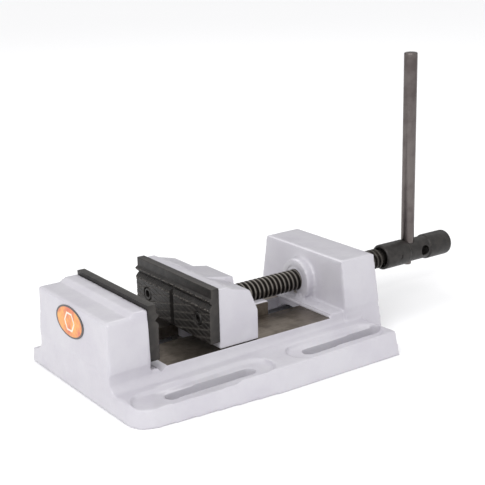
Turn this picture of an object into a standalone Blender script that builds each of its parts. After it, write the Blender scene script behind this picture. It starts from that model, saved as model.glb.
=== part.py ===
"""Low-profile machine vise for a drill-press table.

A cast-iron body carries the fixed jaw, the bed and the nut block.  The
movable jaw slides along +X on the bed, drawn by a screw that turns in the
nut block, and a loose tommy bar through the screw's head turns it.

Units are metres, +Z is up and the base rests on z = 0.  The pieces are drawn
with x = 0 at the fixed jaw's end face, x running towards the handle, and
y = 0 on the screw's centre plane; centre_on_base then moves the whole model
so that the origin is the middle of its footprint.  The vise is half open.
"""

from math import cos, pi, radians, sin

import bmesh
import bpy
from mathutils import Matrix, Vector

MM = 0.001

# ------------------------------------------------------------ driving sizes
CLEARANCE = 0.3 * MM            # running and seating gap between pieces

JAW_WIDTH = 100.0 * MM          # the size the vise is sold by
CASTING_WIDTH = 99.0 * MM       # castings stand a little inside the plates
WAY_HEIGHT = 22.5 * MM          # machined bed the movable jaw slides on
WAY_WIDTH = 101.0 * MM
BED_THICKNESS = 9.0 * MM
SHOULDER_RUN = 11.0 * MM        # slope from the bed down to each flange

FLANGE_LENGTH = 218.4 * MM
NEAR_EDGE_Y = 95.0 * MM         # wide flange, with the bolt slots
NEAR_EDGE_START_Y = 88.0 * MM   # the same edge at the fixed-jaw end
NEAR_EDGE_KNEE_X = 112.0 * MM   # where that edge becomes parallel to x
FAR_EDGE_Y = 66.8 * MM          # narrow flange
NEAR_CORNER_RADIUS = 17.0 * MM
FLANGE_RISE_X = 0.017           # slope of the flange's top along x
FLANGE_FALL_Y = 0.028           # and its fall towards the far side
FLANGE_HEIGHT = 12.4 * MM       # height of that top at x = 0, y = 0
FLANGE_DRAFT = 2.5 * MM
FAR_DRAFT = 0.8 * MM             # the same at the far corners

SCOOP_DEPTH = 2.6 * MM          # cast recess round each bolt slot
SCOOP_INNER_Y = 63.0 * MM
SCOOP_RIM = 6.0 * MM
SCOOP_FRONT_X = (4.5 * MM, 113.0 * MM)
SCOOP_REAR_X = (131.0 * MM, 213.0 * MM)
SLOT_WIDTH = 10.0 * MM
SLOT_LENGTH = 71.0 * MM
SLOT_Y = 74.5 * MM
SLOT_FRONT_X = 65.0 * MM        # middle of each slot
SLOT_REAR_X = 180.0 * MM

FIXED_BLOCK_FRONT_X = 32.75 * MM
FIXED_LEDGE_HEIGHT = 62.0 * MM
FIXED_TOP_HEIGHT = 64.6 * MM
FIXED_STEP_X = 18.5 * MM
FIXED_STEP_RUN = 4.0 * MM
END_DRAFT = 2.05 * MM
SIDE_DRAFT = 2.4 * MM

REAR_BLOCK_FRONT_X = 203.3 * MM
REAR_BLOCK_BACK_X = 234.7 * MM
REAR_BLOCK_HEIGHT = 62.7 * MM
REAR_BLOCK_TOP_WIDTH = 93.0 * MM
REAR_BLOCK_FOOT_WIDTH = 114.0 * MM
REAR_FOOT_X = 189.5 * MM        # unmachined step at the foot of the block
REAR_FOOT_HEIGHT = 25.5 * MM
REAR_BOSS_WALL = 5.0 * MM        # iron round the nut
REAR_BOSS_LENGTH = 8.0 * MM

PLATE_HEIGHT = 39.6 * MM
PLATE_BOTTOM = 28.3 * MM
PLATE_THICKNESS = 7.8 * MM      # serrated field
PLATE_BAND_THICKNESS = 6.2 * MM  # plain band along the top
PLATE_BAND_HEIGHT = 8.0 * MM
PLATE_GROOVE_HEIGHT = 7.0 * MM  # level V groove between two lips
PLATE_GROOVE_DEPTH = 2.2 * MM
PLATE_LIP = 0.8 * MM
PLATE_V_WIDTH = 5.0 * MM        # upright V groove for round stock
PLATE_V_DEPTH = 2.0 * MM
PLATE_SCREW_SPACING = 68.0 * MM
PLATE_SCREW_HEIGHT = 43.0 * MM
CAP_SCREW_THREAD = 6.0 * MM
CAP_SCREW_HEAD = 9.6 * MM
CAP_SCREW_HEAD_HEIGHT = 4.6 * MM
CAP_SCREW_SOCKET = 5.0 * MM
CAP_SCREW_LENGTH = 20.0 * MM

JAW_BACK_X = 89.8 * MM          # where the movable plate seats
JAW_TOP_HEIGHT = 66.6 * MM
JAW_LAND = 8.0 * MM
JAW_STEP_RUN = 3.5 * MM
JAW_STEP_DROP = 2.0 * MM
JAW_CREST_X = 116.5 * MM
JAW_CREST_HEIGHT = 60.6 * MM
JAW_WAIST_HEIGHT = 44.0 * MM
JAW_REAR_X = 123.2 * MM
HUMP_TOP_WIDTH = 35.0 * MM
HUMP_FOOT_WIDTH = 38.0 * MM
HUMP_REAR_X = 124.2 * MM
HUMP_REAR_HEIGHT = 60.8 * MM

GUIDE_SLOT_WIDTH = 27.0 * MM
GUIDE_SLOT_START_X = 53.0 * MM   # it ends at the foot of the nut block
ARCH_HEIGHT = 20.5 * MM
TAIL_REAR_X = 158.7 * MM
TAIL_HEIGHT = 33.4 * MM
KEEPER_WIDTH = 46.0 * MM
KEEPER_LENGTH = 46.0 * MM
KEEPER_THICKNESS = 6.0 * MM
KEEPER_BOLT_SPACING = 24.0 * MM
KEEPER_BOLT_THREAD = 6.0 * MM
KEEPER_BOLT_HEAD = 10.0 * MM
KEEPER_BOLT_HEAD_HEIGHT = 4.0 * MM
KEEPER_BOLT_LENGTH = 18.0 * MM
WASHER_DIAMETER = 13.0 * MM
WASHER_THICKNESS = 1.2 * MM

CAVITY_WIDTH = 88.0 * MM
CAVITY_WALL = 9.0 * MM

SCREW_HEIGHT = 38.9 * MM
SCREW_DIAMETER = 16.5 * MM
SCREW_PITCH = 4.0 * MM
SCREW_THREAD_DEPTH = 1.7 * MM
SCREW_THREAD_X = (128.0 * MM, 280.0 * MM)
SCREW_NECK_DIAMETER = 13.0 * MM
SCREW_TIP_X = 100.0 * MM
RETAINING_GROOVE_X = 108.0 * MM
RETAINING_GROOVE_WIDTH = 5.6 * MM
RETAINING_GROOVE_DEPTH = 2.6 * MM
RETAINING_PIN_DIAMETER = 5.0 * MM
RETAINING_PIN_ABOVE_AXIS = 8.0 * MM
THRUST_DISC_THICKNESS = 2.5 * MM
NUT_WALL = 2.75 * MM
NUT_DIAMETER = SCREW_DIAMETER + 2 * NUT_WALL
NUT_FLANGE_LIP = 2.5 * MM
NUT_FLANGE_THICKNESS = 2.5 * MM
NUT_KEY_DIAMETER = 4.0 * MM
NUT_KEY_LENGTH = 12.0 * MM

HEAD_X = (284.6 * MM, 358.6 * MM)
HEAD_DIAMETER = 21.0 * MM
HEAD_WAIST_DIAMETER = 19.0 * MM
HEAD_WAIST_X = (310.0 * MM, 334.0 * MM)
HEAD_RECESS_DIAMETER = 16.4 * MM
HEAD_RECESS_DEPTH = 4.0 * MM
HEAD_ROUND = 3.0 * MM
HEAD_PIN_X = 299.0 * MM
HEAD_PIN_DIAMETER = 4.0 * MM
SCREW_STUB_END_X = 306.0 * MM
SPARE_HOLE_X = 327.5 * MM
SPARE_HOLE_DIAMETER = 8.6 * MM
BAR_X = 315.3 * MM
BAR_DIAMETER = 11.0 * MM
BAR_TOP = 204.9 * MM
BAR_TIP_DIAMETER = 7.0 * MM
BAR_TIP_LENGTH = 6.0 * MM
BAR_TIP_BELOW_HEAD = 2.0 * MM
BAR_CHAMFER = 0.9 * MM

LABEL_LENGTH = 40.0 * MM
LABEL_HEIGHT = 22.4 * MM
LABEL_THICKNESS = 0.5 * MM
LABEL_Y = 1.5 * MM
LABEL_Z = 49.6 * MM

ROUND_STEPS = 24
SMALL_ROUND_STEPS = 16
THREAD_STEPS = 12

PLATE_TOP = PLATE_BOTTOM + PLATE_HEIGHT
NEAR, FAR = -1.0, 1.0


# ------------------------------------------------------------ small helpers
def clear_scene():
    """Remove every object that the file opened with."""
    for item in list(bpy.data.objects):
        bpy.data.objects.remove(item, do_unlink=True)


def material(name, colour, roughness, metallic=0.0):
    """Return a Principled material with a plain linear colour."""
    made = bpy.data.materials.new(name)
    made.use_nodes = True
    shader = made.node_tree.nodes["Principled BSDF"]
    shader.inputs["Base Color"].default_value = (*colour, 1.0)
    shader.inputs["Roughness"].default_value = roughness
    shader.inputs["Metallic"].default_value = metallic
    made.diffuse_color = (*colour, 1.0)
    return made


def add_mesh(name, bm, smooth=False):
    """Turn a bmesh into a linked object with outward faces."""
    bmesh.ops.recalc_face_normals(bm, faces=bm.faces)
    mesh = bpy.data.meshes.new(name)
    bm.to_mesh(mesh)
    bm.free()
    item = bpy.data.objects.new(name, mesh)
    bpy.context.scene.collection.objects.link(item)
    if smooth:
        mesh.shade_smooth()
    return item


def loft(name, sections):
    """Skin closed sections that have equal point counts, and cap both ends."""
    bm = bmesh.new()
    rings = [[bm.verts.new(point) for point in section] for section in sections]
    count = len(rings[0])
    for lower, upper in zip(rings, rings[1:]):
        for i in range(count):
            j = (i + 1) % count
            bm.faces.new((lower[i], lower[j], upper[j], upper[i]))
    bm.faces.new(rings[0])
    bm.faces.new(rings[-1])
    return add_mesh(name, bm)


def box(name, x, y, z):
    """Box between the given pairs of limits."""
    corners = ((x[0], y[0]), (x[1], y[0]), (x[1], y[1]), (x[0], y[1]))
    return loft(name, [[(a, b, level) for a, b in corners] for level in z])


def extrude_y(name, outline_xz, y):
    """Prism with an outline in the xz plane."""
    return loft(name, [[(a, level, b) for a, b in outline_xz] for level in y])


def extrude_x(name, outline_yz, x):
    """Prism with an outline in the yz plane."""
    return loft(name, [[(level, a, b) for a, b in outline_yz] for level in x])


def turned(name, profile, axis, origin, steps=ROUND_STEPS):
    """Solid of revolution: profile is (distance along axis, radius) pairs."""
    turn = Vector((0, 0, 1)).rotation_difference(Vector(axis)).to_matrix()
    bm = bmesh.new()
    rings = []
    for along, radius in profile:
        ring = []
        for k in range(steps):
            angle = 2 * pi * (k + 0.5) / steps
            local = Vector((radius * cos(angle), radius * sin(angle), along))
            ring.append(bm.verts.new(turn @ local + Vector(origin)))
        rings.append(ring)
    for lower, upper in zip(rings, rings[1:]):
        for k in range(steps):
            m = (k + 1) % steps
            bm.faces.new((lower[k], lower[m], upper[m], upper[k]))
    bm.faces.new(rings[0])
    bm.faces.new(rings[-1])
    return add_mesh(name, bm, smooth=True)


def cylinder(name, axis, origin, length, diameter, steps=ROUND_STEPS):
    """Cylinder that starts at origin and runs along axis."""
    radius = diameter / 2
    return turned(name, ((0, radius), (length, radius)), axis, origin, steps)


def combine(target, tool, operation):
    """Boolean modifier with a hidden tool object."""
    modifier = target.modifiers.new(tool.name, "BOOLEAN")
    modifier.operation = operation
    modifier.solver = "EXACT"
    modifier.object = tool
    tool.hide_render = True
    tool.display_type = "WIRE"


def cut(target, *tools):
    """Take each tool away from the target."""
    for tool in tools:
        combine(target, tool, "DIFFERENCE")


def join(target, *tools):
    """Add each tool to the target."""
    for tool in tools:
        combine(target, tool, "UNION")


def finish(item, shader, parent=None):
    """Give a piece its material and its parent."""
    item.data.materials.append(shader)
    if parent is not None:
        item.parent = parent
        item.matrix_parent_inverse = parent.matrix_world.inverted()
    return item


def pivot(name, location, parent=None):
    """Empty on a joint's axis, which carries that joint's pieces."""
    empty = bpy.data.objects.new(name, None)
    bpy.context.scene.collection.objects.link(empty)
    empty.matrix_world = Matrix.Translation(location)
    if parent is not None:
        empty.parent = parent
        empty.matrix_parent_inverse = parent.matrix_world.inverted()
    bpy.context.view_layer.update()
    return empty


def stadium(x, y, length, width, steps=8):
    """Outline of a slot with round ends, along x."""
    radius = width / 2
    points = []
    for side, start in ((1, -90), (-1, 90)):
        middle = x + side * (length / 2 - radius)
        for k in range(steps + 1):
            angle = radians(start + 180 * k / steps)
            points.append((middle + radius * cos(angle), y + radius * sin(angle)))
    return points


# ------------------------------------------------------------- body casting
def flange_top(x, y):
    """Height of the flange's sloping top."""
    return FLANGE_HEIGHT + FLANGE_RISE_X * x - FLANGE_FALL_Y * y


def flange_outline(inset):
    """Plan of the flange, drawn in by inset on its outer sides."""
    far_inset = min(inset, FAR_DRAFT)
    start_y = -(NEAR_EDGE_START_Y - inset)
    radius = NEAR_CORNER_RADIUS
    points = [(far_inset, FAR_EDGE_Y - far_inset)]
    for k in range(7):
        angle = radians(180 + 90 * k / 6)
        middle_x = inset + radius
        middle_y = start_y + radius
        points.append((middle_x + radius * cos(angle), middle_y + radius * sin(angle)))
    points.append((NEAR_EDGE_KNEE_X, -(NEAR_EDGE_Y - inset)))
    points.append((FLANGE_LENGTH - inset, -(NEAR_EDGE_Y - inset)))
    points.append((FLANGE_LENGTH - far_inset, FAR_EDGE_Y - far_inset))
    return points


def flange():
    """Flange plate with drafted sides and a sloping top."""
    foot = [(x, y, 0.0) for x, y in flange_outline(0.0)]
    rim = [(x, y, flange_top(x, y)) for x, y in flange_outline(FLANGE_DRAFT)]
    return loft("body_casting", (foot, rim))


def bed():
    """Bed with a hollow slope down to the flange on both sides."""
    half = WAY_WIDTH / 2
    drop = WAY_HEIGHT - FLANGE_HEIGHT
    slope = []
    for k in range(5):
        angle = radians(90 * k / 4)
        slope.append((half + SHOULDER_RUN * (1 - cos(angle)), WAY_HEIGHT - drop * sin(angle)))
    outer = half + SHOULDER_RUN
    near = [(-y, z) for y, z in slope] + [(-outer, 0.001), (outer, 0.001)]
    outline = near + list(reversed(slope))
    return extrude_x("bed", outline, (0.001, FLANGE_LENGTH - 0.001))


def tapered_block(name, foot_x, top_x, foot_half, top_half, foot_z, top_z):
    """Block whose four walls lean in towards the top."""
    sections = []
    for xs, half, z in ((foot_x, foot_half, foot_z), (top_x, top_half, top_z)):
        plan = ((xs[0], -half), (xs[1], -half), (xs[1], half), (xs[0], half))
        sections.append([(x, y, z) for x, y in plan])
    return loft(name, sections)


def fixed_block():
    """Fixed jaw's block, with the low ledge behind its plate."""
    half = CASTING_WIDTH / 2
    foot_x = (0.0, FIXED_BLOCK_FRONT_X)
    top_x = (END_DRAFT, FIXED_BLOCK_FRONT_X)
    block = tapered_block("fixed_block", foot_x, top_x, half + SIDE_DRAFT, half,
                          0.0, FIXED_TOP_HEIGHT)
    top = FIXED_TOP_HEIGHT
    ledge = ((-0.01, FIXED_LEDGE_HEIGHT), (FIXED_STEP_X, FIXED_LEDGE_HEIGHT),
             (FIXED_STEP_X + FIXED_STEP_RUN, top), (FIXED_STEP_X, top + 0.01),
             (-0.01, top + 0.01))
    cut(block, extrude_y("fixed_ledge_cut", ledge, (-JAW_WIDTH, JAW_WIDTH)))
    return block


def rear_block():
    """Nut block, its foot step and the boss round the screw."""
    draft = 1.5 * MM
    block = tapered_block(
        "rear_block",
        (REAR_BLOCK_FRONT_X - draft, REAR_BLOCK_BACK_X + draft),
        (REAR_BLOCK_FRONT_X, REAR_BLOCK_BACK_X),
        REAR_BLOCK_FOOT_WIDTH / 2, REAR_BLOCK_TOP_WIDTH / 2, 0.0, REAR_BLOCK_HEIGHT)
    half = WAY_WIDTH / 2
    foot = box("rear_foot", (REAR_FOOT_X, REAR_BLOCK_FRONT_X + 0.005), (-half, half),
               (0.002, REAR_FOOT_HEIGHT))
    boss = cylinder("rear_boss", (-1, 0, 0), (REAR_BLOCK_FRONT_X + 0.01, 0, SCREW_HEIGHT),
                    REAR_BOSS_LENGTH + 0.01, NUT_DIAMETER + 2 * REAR_BOSS_WALL)
    join(block, foot, boss)
    return block


def scoop(name, x):
    """Cutter for the cast recess round a bolt slot."""
    outer = NEAR_EDGE_Y - SCOOP_RIM
    length = x[1] - x[0]
    width = outer - SCOOP_INNER_Y
    middle = (x[0] + x[1]) / 2
    plan = stadium(middle, -(outer + SCOOP_INNER_Y) / 2, length, width)
    grown = stadium(middle, -(outer + SCOOP_INNER_Y) / 2, length + 4 * MM, width + 4 * MM)
    floor = [(a, b, flange_top(a, b) - SCOOP_DEPTH) for a, b in plan]
    brim = [(a, b, flange_top(a, b) + SCOOP_DEPTH) for a, b in grown]
    return loft(name, (floor, brim))


def slot(name, x):
    """Cutter for a bolt slot through the near flange."""
    plan = stadium(x, -SLOT_Y, SLOT_LENGTH, SLOT_WIDTH)
    return loft(name, [[(a, b, z) for a, b in plan] for z in (-0.01, 0.03)])


def hollow():
    """Cutter for the casting's hollow underside."""
    half = CAVITY_WIDTH / 2
    ceiling = WAY_HEIGHT - BED_THICKNESS
    x = (CAVITY_WALL, REAR_BLOCK_BACK_X - CAVITY_WALL)
    return box("underside_hollow", x, (-half, half), (-0.01, ceiling))


def guide_slot():
    """Cutter for the jaw's guide slot, which ends in an arch under the nut block."""
    half = GUIDE_SLOT_WIDTH / 2
    return box("guide_slot_cut", (GUIDE_SLOT_START_X, REAR_FOOT_X), (-half, half), (0.0, 0.05))


def arch():
    """Cutter for the arched way under the nut block."""
    half = GUIDE_SLOT_WIDTH / 2
    spring = WAY_HEIGHT - BED_THICKNESS - 0.001
    rise = ARCH_HEIGHT - spring
    outline = [(-half, 0.0), (half, 0.0)]
    for k in range(9):
        angle = radians(180 * k / 8)
        outline.append((half * cos(angle), spring + rise * sin(angle)))
    return extrude_x("arch_cut", outline, (REAR_FOOT_X - 0.002, REAR_BLOCK_BACK_X + 0.01))


def plate_screw_holes(name, x_start, direction, depth, diameter):
    """Cutters for the two holes behind a jaw plate."""
    holes = []
    for side, label in ((NEAR, "near"), (FAR, "far")):
        origin = (x_start, side * PLATE_SCREW_SPACING / 2, PLATE_SCREW_HEIGHT)
        holes.append(cylinder(f"{name}_{label}", (direction, 0, 0), origin, depth, diameter,
                              SMALL_ROUND_STEPS))
    return holes


def nut_bore():
    """Cutter for the nut's stepped seat, from the back of the nut block."""
    flange_seat = REAR_BLOCK_BACK_X + 0.002
    body = NUT_DIAMETER / 2 + CLEARANCE
    start = REAR_BLOCK_FRONT_X - REAR_BOSS_LENGTH - 0.01
    profile = ((0, body), (flange_seat - start + 0.01, body))
    return turned("nut_seat_cut", profile, (1, 0, 0), (start, 0, SCREW_HEIGHT))


def key_cut(name, growth):
    """Cutter or body of the key that stops the nut from turning."""
    x = REAR_BLOCK_FRONT_X - REAR_BOSS_LENGTH
    z = SCREW_HEIGHT - NUT_DIAMETER / 2 - CLEARANCE / 2
    start = x - growth * 10
    return cylinder(name, (1, 0, 0), (start, 0, z), NUT_KEY_LENGTH + growth * 11,
                    NUT_KEY_DIAMETER + 2 * growth, SMALL_ROUND_STEPS)


def body_casting(enamel):
    """The one casting: flange, bed, fixed jaw block and nut block."""
    casting = flange()
    join(casting, bed(), fixed_block(), rear_block())
    cut(casting, scoop("front_scoop", SCOOP_FRONT_X), scoop("rear_scoop", SCOOP_REAR_X))
    cut(casting, slot("front_slot", SLOT_FRONT_X), slot("rear_slot", SLOT_REAR_X))
    cut(casting, hollow(), guide_slot(), arch(), nut_bore(), key_cut("key_seat_cut", CLEARANCE))
    depth = CAP_SCREW_LENGTH + 0.004
    cut(casting, *plate_screw_holes("fixed_screw_hole", FIXED_BLOCK_FRONT_X + 0.001, -1, depth,
                                    CAP_SCREW_THREAD + 2 * CLEARANCE))
    return finish(casting, enamel)


# -------------------------------------------------------------- jaw plates
def jaw_plate(name, back_x, facing, shader, parent=None):
    """Serrated plate: plain top band, level groove, upright groove, two holes."""
    x = back_x + facing * CLEARANCE
    band = PLATE_TOP - PLATE_BAND_HEIGHT
    groove = band - PLATE_GROOVE_HEIGHT
    middle = (band + groove) / 2
    face = PLATE_THICKNESS
    lip = face + PLATE_LIP
    depth_and_height = (
        (0.0, PLATE_BOTTOM), (face, PLATE_BOTTOM), (face, groove - 2 * PLATE_LIP),
        (lip, groove), (face - PLATE_GROOVE_DEPTH, middle), (lip, band),
        (PLATE_BAND_THICKNESS, band + 2 * PLATE_LIP), (PLATE_BAND_THICKNESS, PLATE_TOP),
        (0.0, PLATE_TOP))
    outline = [(x + facing * depth, height) for depth, height in depth_and_height]
    half = JAW_WIDTH / 2
    plate = extrude_y(name, outline, (-half, half))
    if facing < 0:
        cut(plate, upright_groove(f"{name}_groove_cut", x + facing * face, facing))
    seat = face - CAP_SCREW_HEAD_HEIGHT - CLEARANCE
    for side, label in ((NEAR, "near"), (FAR, "far")):
        origin = (x - facing * 0.002, side * PLATE_SCREW_SPACING / 2, PLATE_SCREW_HEIGHT)
        bore = CAP_SCREW_THREAD / 2 + CLEARANCE
        wide = CAP_SCREW_HEAD / 2 + CLEARANCE
        profile = ((0, bore), (seat + 0.002, bore), (seat + 0.002, wide), (face + 0.01, wide))
        cut(plate, turned(f"{name}_hole_{label}", profile, (facing, 0, 0), origin,
                          SMALL_ROUND_STEPS))
    return finish(plate, shader, parent)


def upright_groove(name, face_x, facing):
    """Cutter for the V groove that holds round stock upright."""
    half = PLATE_V_WIDTH / 2
    top = PLATE_TOP - PLATE_BAND_HEIGHT - PLATE_GROOVE_HEIGHT
    lean = PLATE_LIP + 0.001
    spread = half * (1 + lean / PLATE_V_DEPTH)
    plan = ((face_x - facing * PLATE_V_DEPTH, 0.0), (face_x + facing * lean, spread),
            (face_x + facing * lean, -spread))
    sections = [[(x, y, z) for x, y in plan] for z in (PLATE_BOTTOM - 0.01, top)]
    return loft(name, sections)


def cap_screw(name, origin, direction, shader, parent=None):
    """Socket cap screw whose head sits at origin and shank runs along direction."""
    head = CAP_SCREW_HEAD / 2
    shank = CAP_SCREW_THREAD / 2
    end = CAP_SCREW_HEAD_HEIGHT + CAP_SCREW_LENGTH
    chamfer = 0.6 * MM
    profile = ((0, head - chamfer), (chamfer, head), (CAP_SCREW_HEAD_HEIGHT, head),
               (CAP_SCREW_HEAD_HEIGHT, shank), (end - chamfer, shank), (end, shank - chamfer))
    screw = turned(name, profile, direction, origin, SMALL_ROUND_STEPS)
    back = Vector(origin) - Vector(direction) * 0.001
    cut(screw, cylinder(f"{name}_socket", direction, back, CAP_SCREW_HEAD_HEIGHT * 0.6 + 0.001,
                        CAP_SCREW_SOCKET / cos(pi / 6), 6))
    return finish(screw, shader, parent)


def plate_screws(prefix, back_x, facing, shader, parent=None):
    """The two cap screws that hold a jaw plate."""
    face = back_x + facing * (CLEARANCE + PLATE_THICKNESS)
    for side, label in ((NEAR, "near"), (FAR, "far")):
        origin = (face, side * PLATE_SCREW_SPACING / 2, PLATE_SCREW_HEIGHT)
        cap_screw(f"{prefix}_{label}", origin, (-facing, 0, 0), shader, parent)


# ------------------------------------------------------------- movable jaw
def movable_jaw_casting(enamel, carriage):
    """Movable jaw with its hump, its tongue in the guide slot and its tail."""
    half = CASTING_WIDTH / 2
    foot = WAY_HEIGHT + CLEARANCE
    step_x = JAW_BACK_X + JAW_LAND + JAW_STEP_RUN
    outline = ((JAW_BACK_X, foot), (JAW_REAR_X, foot), (JAW_REAR_X, JAW_WAIST_HEIGHT),
               (JAW_CREST_X, JAW_CREST_HEIGHT), (step_x, JAW_TOP_HEIGHT - JAW_STEP_DROP),
               (JAW_BACK_X + JAW_LAND, JAW_TOP_HEIGHT), (JAW_BACK_X, JAW_TOP_HEIGHT))
    jaw = extrude_y("movable_jaw_casting", outline, (-half, half))
    join(jaw, hump(), tail(), tongue())
    cut(jaw, *jaw_cutters())
    return finish(jaw, enamel, carriage)


def hump():
    """Raised rib over the screw."""
    sections = []
    levels = ((JAW_BACK_X + 0.004, JAW_TOP_HEIGHT - 0.0001), (HUMP_REAR_X, HUMP_REAR_HEIGHT))
    for x, top in levels:
        sections.append([(x, -HUMP_FOOT_WIDTH / 2, 0.040), (x, HUMP_FOOT_WIDTH / 2, 0.040),
                         (x, HUMP_FOOT_WIDTH / 2, top - 0.006), (x, HUMP_TOP_WIDTH / 2, top),
                         (x, -HUMP_TOP_WIDTH / 2, top), (x, -HUMP_FOOT_WIDTH / 2, top - 0.006)])
    return loft("jaw_hump", sections)


def tongue_half():
    """Half width of the tongue, a running fit in the guide slot."""
    return GUIDE_SLOT_WIDTH / 2 - CLEARANCE


def tail():
    """Machined tail behind the jaw, which steadies it in the guide slot."""
    half = tongue_half()
    return box("jaw_tail", (JAW_REAR_X - 0.005, TAIL_REAR_X), (-half, half),
               (WAY_HEIGHT - 0.004, TAIL_HEIGHT))


def tongue():
    """Tongue through the bed, which the keeper plate bolts to."""
    half = tongue_half()
    return box("jaw_tongue", (JAW_BACK_X + 0.004, TAIL_REAR_X - 0.004), (-half, half),
               (tongue_bottom(), WAY_HEIGHT + 0.004))


def keeper_bolt_x():
    """Places of the two keeper bolts along x."""
    middle = JAW_BACK_X + 0.004 + KEEPER_LENGTH / 2
    return (middle - KEEPER_BOLT_SPACING / 2, middle + KEEPER_BOLT_SPACING / 2)


def jaw_cutters():
    """Everything that is bored or drilled in the movable jaw."""
    bore = SCREW_DIAMETER / 2 + CLEARANCE
    start = SCREW_TIP_X - THRUST_DISC_THICKNESS - 2 * CLEARANCE
    tools = [turned("screw_bore", ((0, bore), (TAIL_REAR_X - start + 0.01, bore)), (1, 0, 0),
                    (start, 0, SCREW_HEIGHT))]
    depth = CAP_SCREW_LENGTH + 0.004
    tools += plate_screw_holes("jaw_screw_hole", JAW_BACK_X - 0.001, 1, depth,
                               CAP_SCREW_THREAD + 2 * CLEARANCE)
    for number, side in enumerate((NEAR, FAR)):
        tools.append(pin_body(f"pin_hole_{number}", side, CLEARANCE))
    for number, x in enumerate(keeper_bolt_x()):
        tools.append(cylinder(f"keeper_hole_{number}", (0, 0, 1), (x, 0, tongue_bottom() - 0.001),
                              KEEPER_BOLT_LENGTH - KEEPER_THICKNESS + 0.001,
                              KEEPER_BOLT_THREAD + 2 * CLEARANCE, SMALL_ROUND_STEPS))
    return tools


def tongue_bottom():
    """Height of the tongue's underside, just inside the bed."""
    return WAY_HEIGHT - BED_THICKNESS - CLEARANCE


def pin_body(name, side, growth):
    """Pin up through the tongue, beside the screw and in its groove; the keeper holds it up."""
    neck = SCREW_DIAMETER / 2 - RETAINING_GROOVE_DEPTH
    y = side * (neck + CLEARANCE + RETAINING_PIN_DIAMETER / 2)
    bottom = tongue_bottom() + CLEARANCE - 10 * growth
    top = SCREW_HEIGHT + RETAINING_PIN_ABOVE_AXIS + growth
    return cylinder(name, (0, 0, 1), (RETAINING_GROOVE_X, y, bottom), top - bottom,
                    RETAINING_PIN_DIAMETER + 2 * growth, SMALL_ROUND_STEPS)


def keeper(steel, bolt_steel, carriage):
    """Keeper plate under the bed, with its two bolts and washers."""
    top = WAY_HEIGHT - BED_THICKNESS - 2 * CLEARANCE
    bottom = top - KEEPER_THICKNESS
    half = KEEPER_WIDTH / 2
    start = JAW_BACK_X + 0.004
    plate = box("keeper_plate", (start, start + KEEPER_LENGTH), (-half, half), (bottom, top))
    for number, (x, label) in enumerate(zip(keeper_bolt_x(), ("front", "rear"))):
        cut(plate, cylinder(f"keeper_plate_hole_{number}", (0, 0, 1), (x, 0, bottom - 0.001),
                            KEEPER_THICKNESS + 0.002, KEEPER_BOLT_THREAD + 2 * CLEARANCE,
                            SMALL_ROUND_STEPS))
        keeper_bolt(label, x, bottom, bolt_steel, carriage)
    finish(plate, steel, carriage)


def keeper_bolt(label, x, seat, shader, carriage):
    """One keeper bolt and the washer under its head."""
    washer_top = seat - CLEARANCE / 10
    ring = cylinder(f"keeper_washer_{label}", (0, 0, -1), (x, 0, washer_top), WASHER_THICKNESS,
                    WASHER_DIAMETER, SMALL_ROUND_STEPS)
    cut(ring, cylinder(f"washer_hole_{label}", (0, 0, -1), (x, 0, washer_top + 0.001),
                       WASHER_THICKNESS + 0.002, KEEPER_BOLT_THREAD + 2 * CLEARANCE,
                       SMALL_ROUND_STEPS))
    finish(ring, shader, carriage)
    head_top = washer_top - WASHER_THICKNESS - CLEARANCE / 10
    head = KEEPER_BOLT_HEAD / 2 / cos(pi / 6)
    bolt = cylinder(f"keeper_bolt_{label}", (0, 0, -1), (x, 0, head_top),
                    KEEPER_BOLT_HEAD_HEIGHT, 2 * head, 6)
    join(bolt, cylinder(f"keeper_shank_{label}", (0, 0, 1), (x, 0, head_top - 0.001),
                        KEEPER_BOLT_LENGTH + 0.001, KEEPER_BOLT_THREAD, SMALL_ROUND_STEPS))
    finish(bolt, shader, carriage)


def jaw_inner_parts(steel, carriage):
    """Thrust disc and the two pins that hold the screw in the jaw."""
    disc_x = SCREW_TIP_X - THRUST_DISC_THICKNESS - CLEARANCE
    disc = cylinder("thrust_disc", (1, 0, 0), (disc_x, 0, SCREW_HEIGHT), THRUST_DISC_THICKNESS,
                    SCREW_DIAMETER - 2 * CLEARANCE)
    finish(disc, steel, carriage)
    for side, label in ((NEAR, "near"), (FAR, "far")):
        finish(pin_body(f"retaining_pin_{label}", side, 0.0), steel, carriage)


# ------------------------------------------------------------ screw and bar
def thread_mesh(bm, x_start, x_end, root, crest):
    """Right-hand trapezoidal thread, closed by a plain ring at each end."""
    turns = int((x_end - x_start) / SCREW_PITCH - 1.5)
    shares = ((0.0, root), (0.22, crest), (0.50, crest), (0.72, root))
    last = turns * THREAD_STEPS
    rows = []
    for i in range(last + 1):
        angle = 2 * pi * i / THREAD_STEPS
        x = x_start + SCREW_PITCH * (0.5 + i / THREAD_STEPS)
        row = []
        for share, radius in shares:
            point = (x + share * SCREW_PITCH, radius * cos(angle), radius * sin(angle))
            row.append(bm.verts.new(point))
        rows.append(row)
    for i in range(last):
        for k in range(3):
            bm.faces.new((rows[i][k], rows[i + 1][k], rows[i + 1][k + 1], rows[i][k + 1]))
    for i in range(last - THREAD_STEPS):
        after = i + THREAD_STEPS
        bm.faces.new((rows[i][3], rows[i + 1][3], rows[after + 1][0], rows[after][0]))
    first_edge = [rows[i][0] for i in range(THREAD_STEPS + 1)]
    last_edge = [rows[last - i][3] for i in range(THREAD_STEPS + 1)]
    for row in (rows[0], rows[-1]):
        bm.faces.new(row)
    return (first_edge, rows[0][3]), (last_edge, rows[-1][0])


def ring_at(bm, x, radius):
    """Ring of points that lines up with the thread's steps."""
    ring = []
    for k in range(THREAD_STEPS):
        angle = 2 * pi * k / THREAD_STEPS
        ring.append(bm.verts.new((x, radius * cos(angle), radius * sin(angle))))
    return ring


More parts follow.
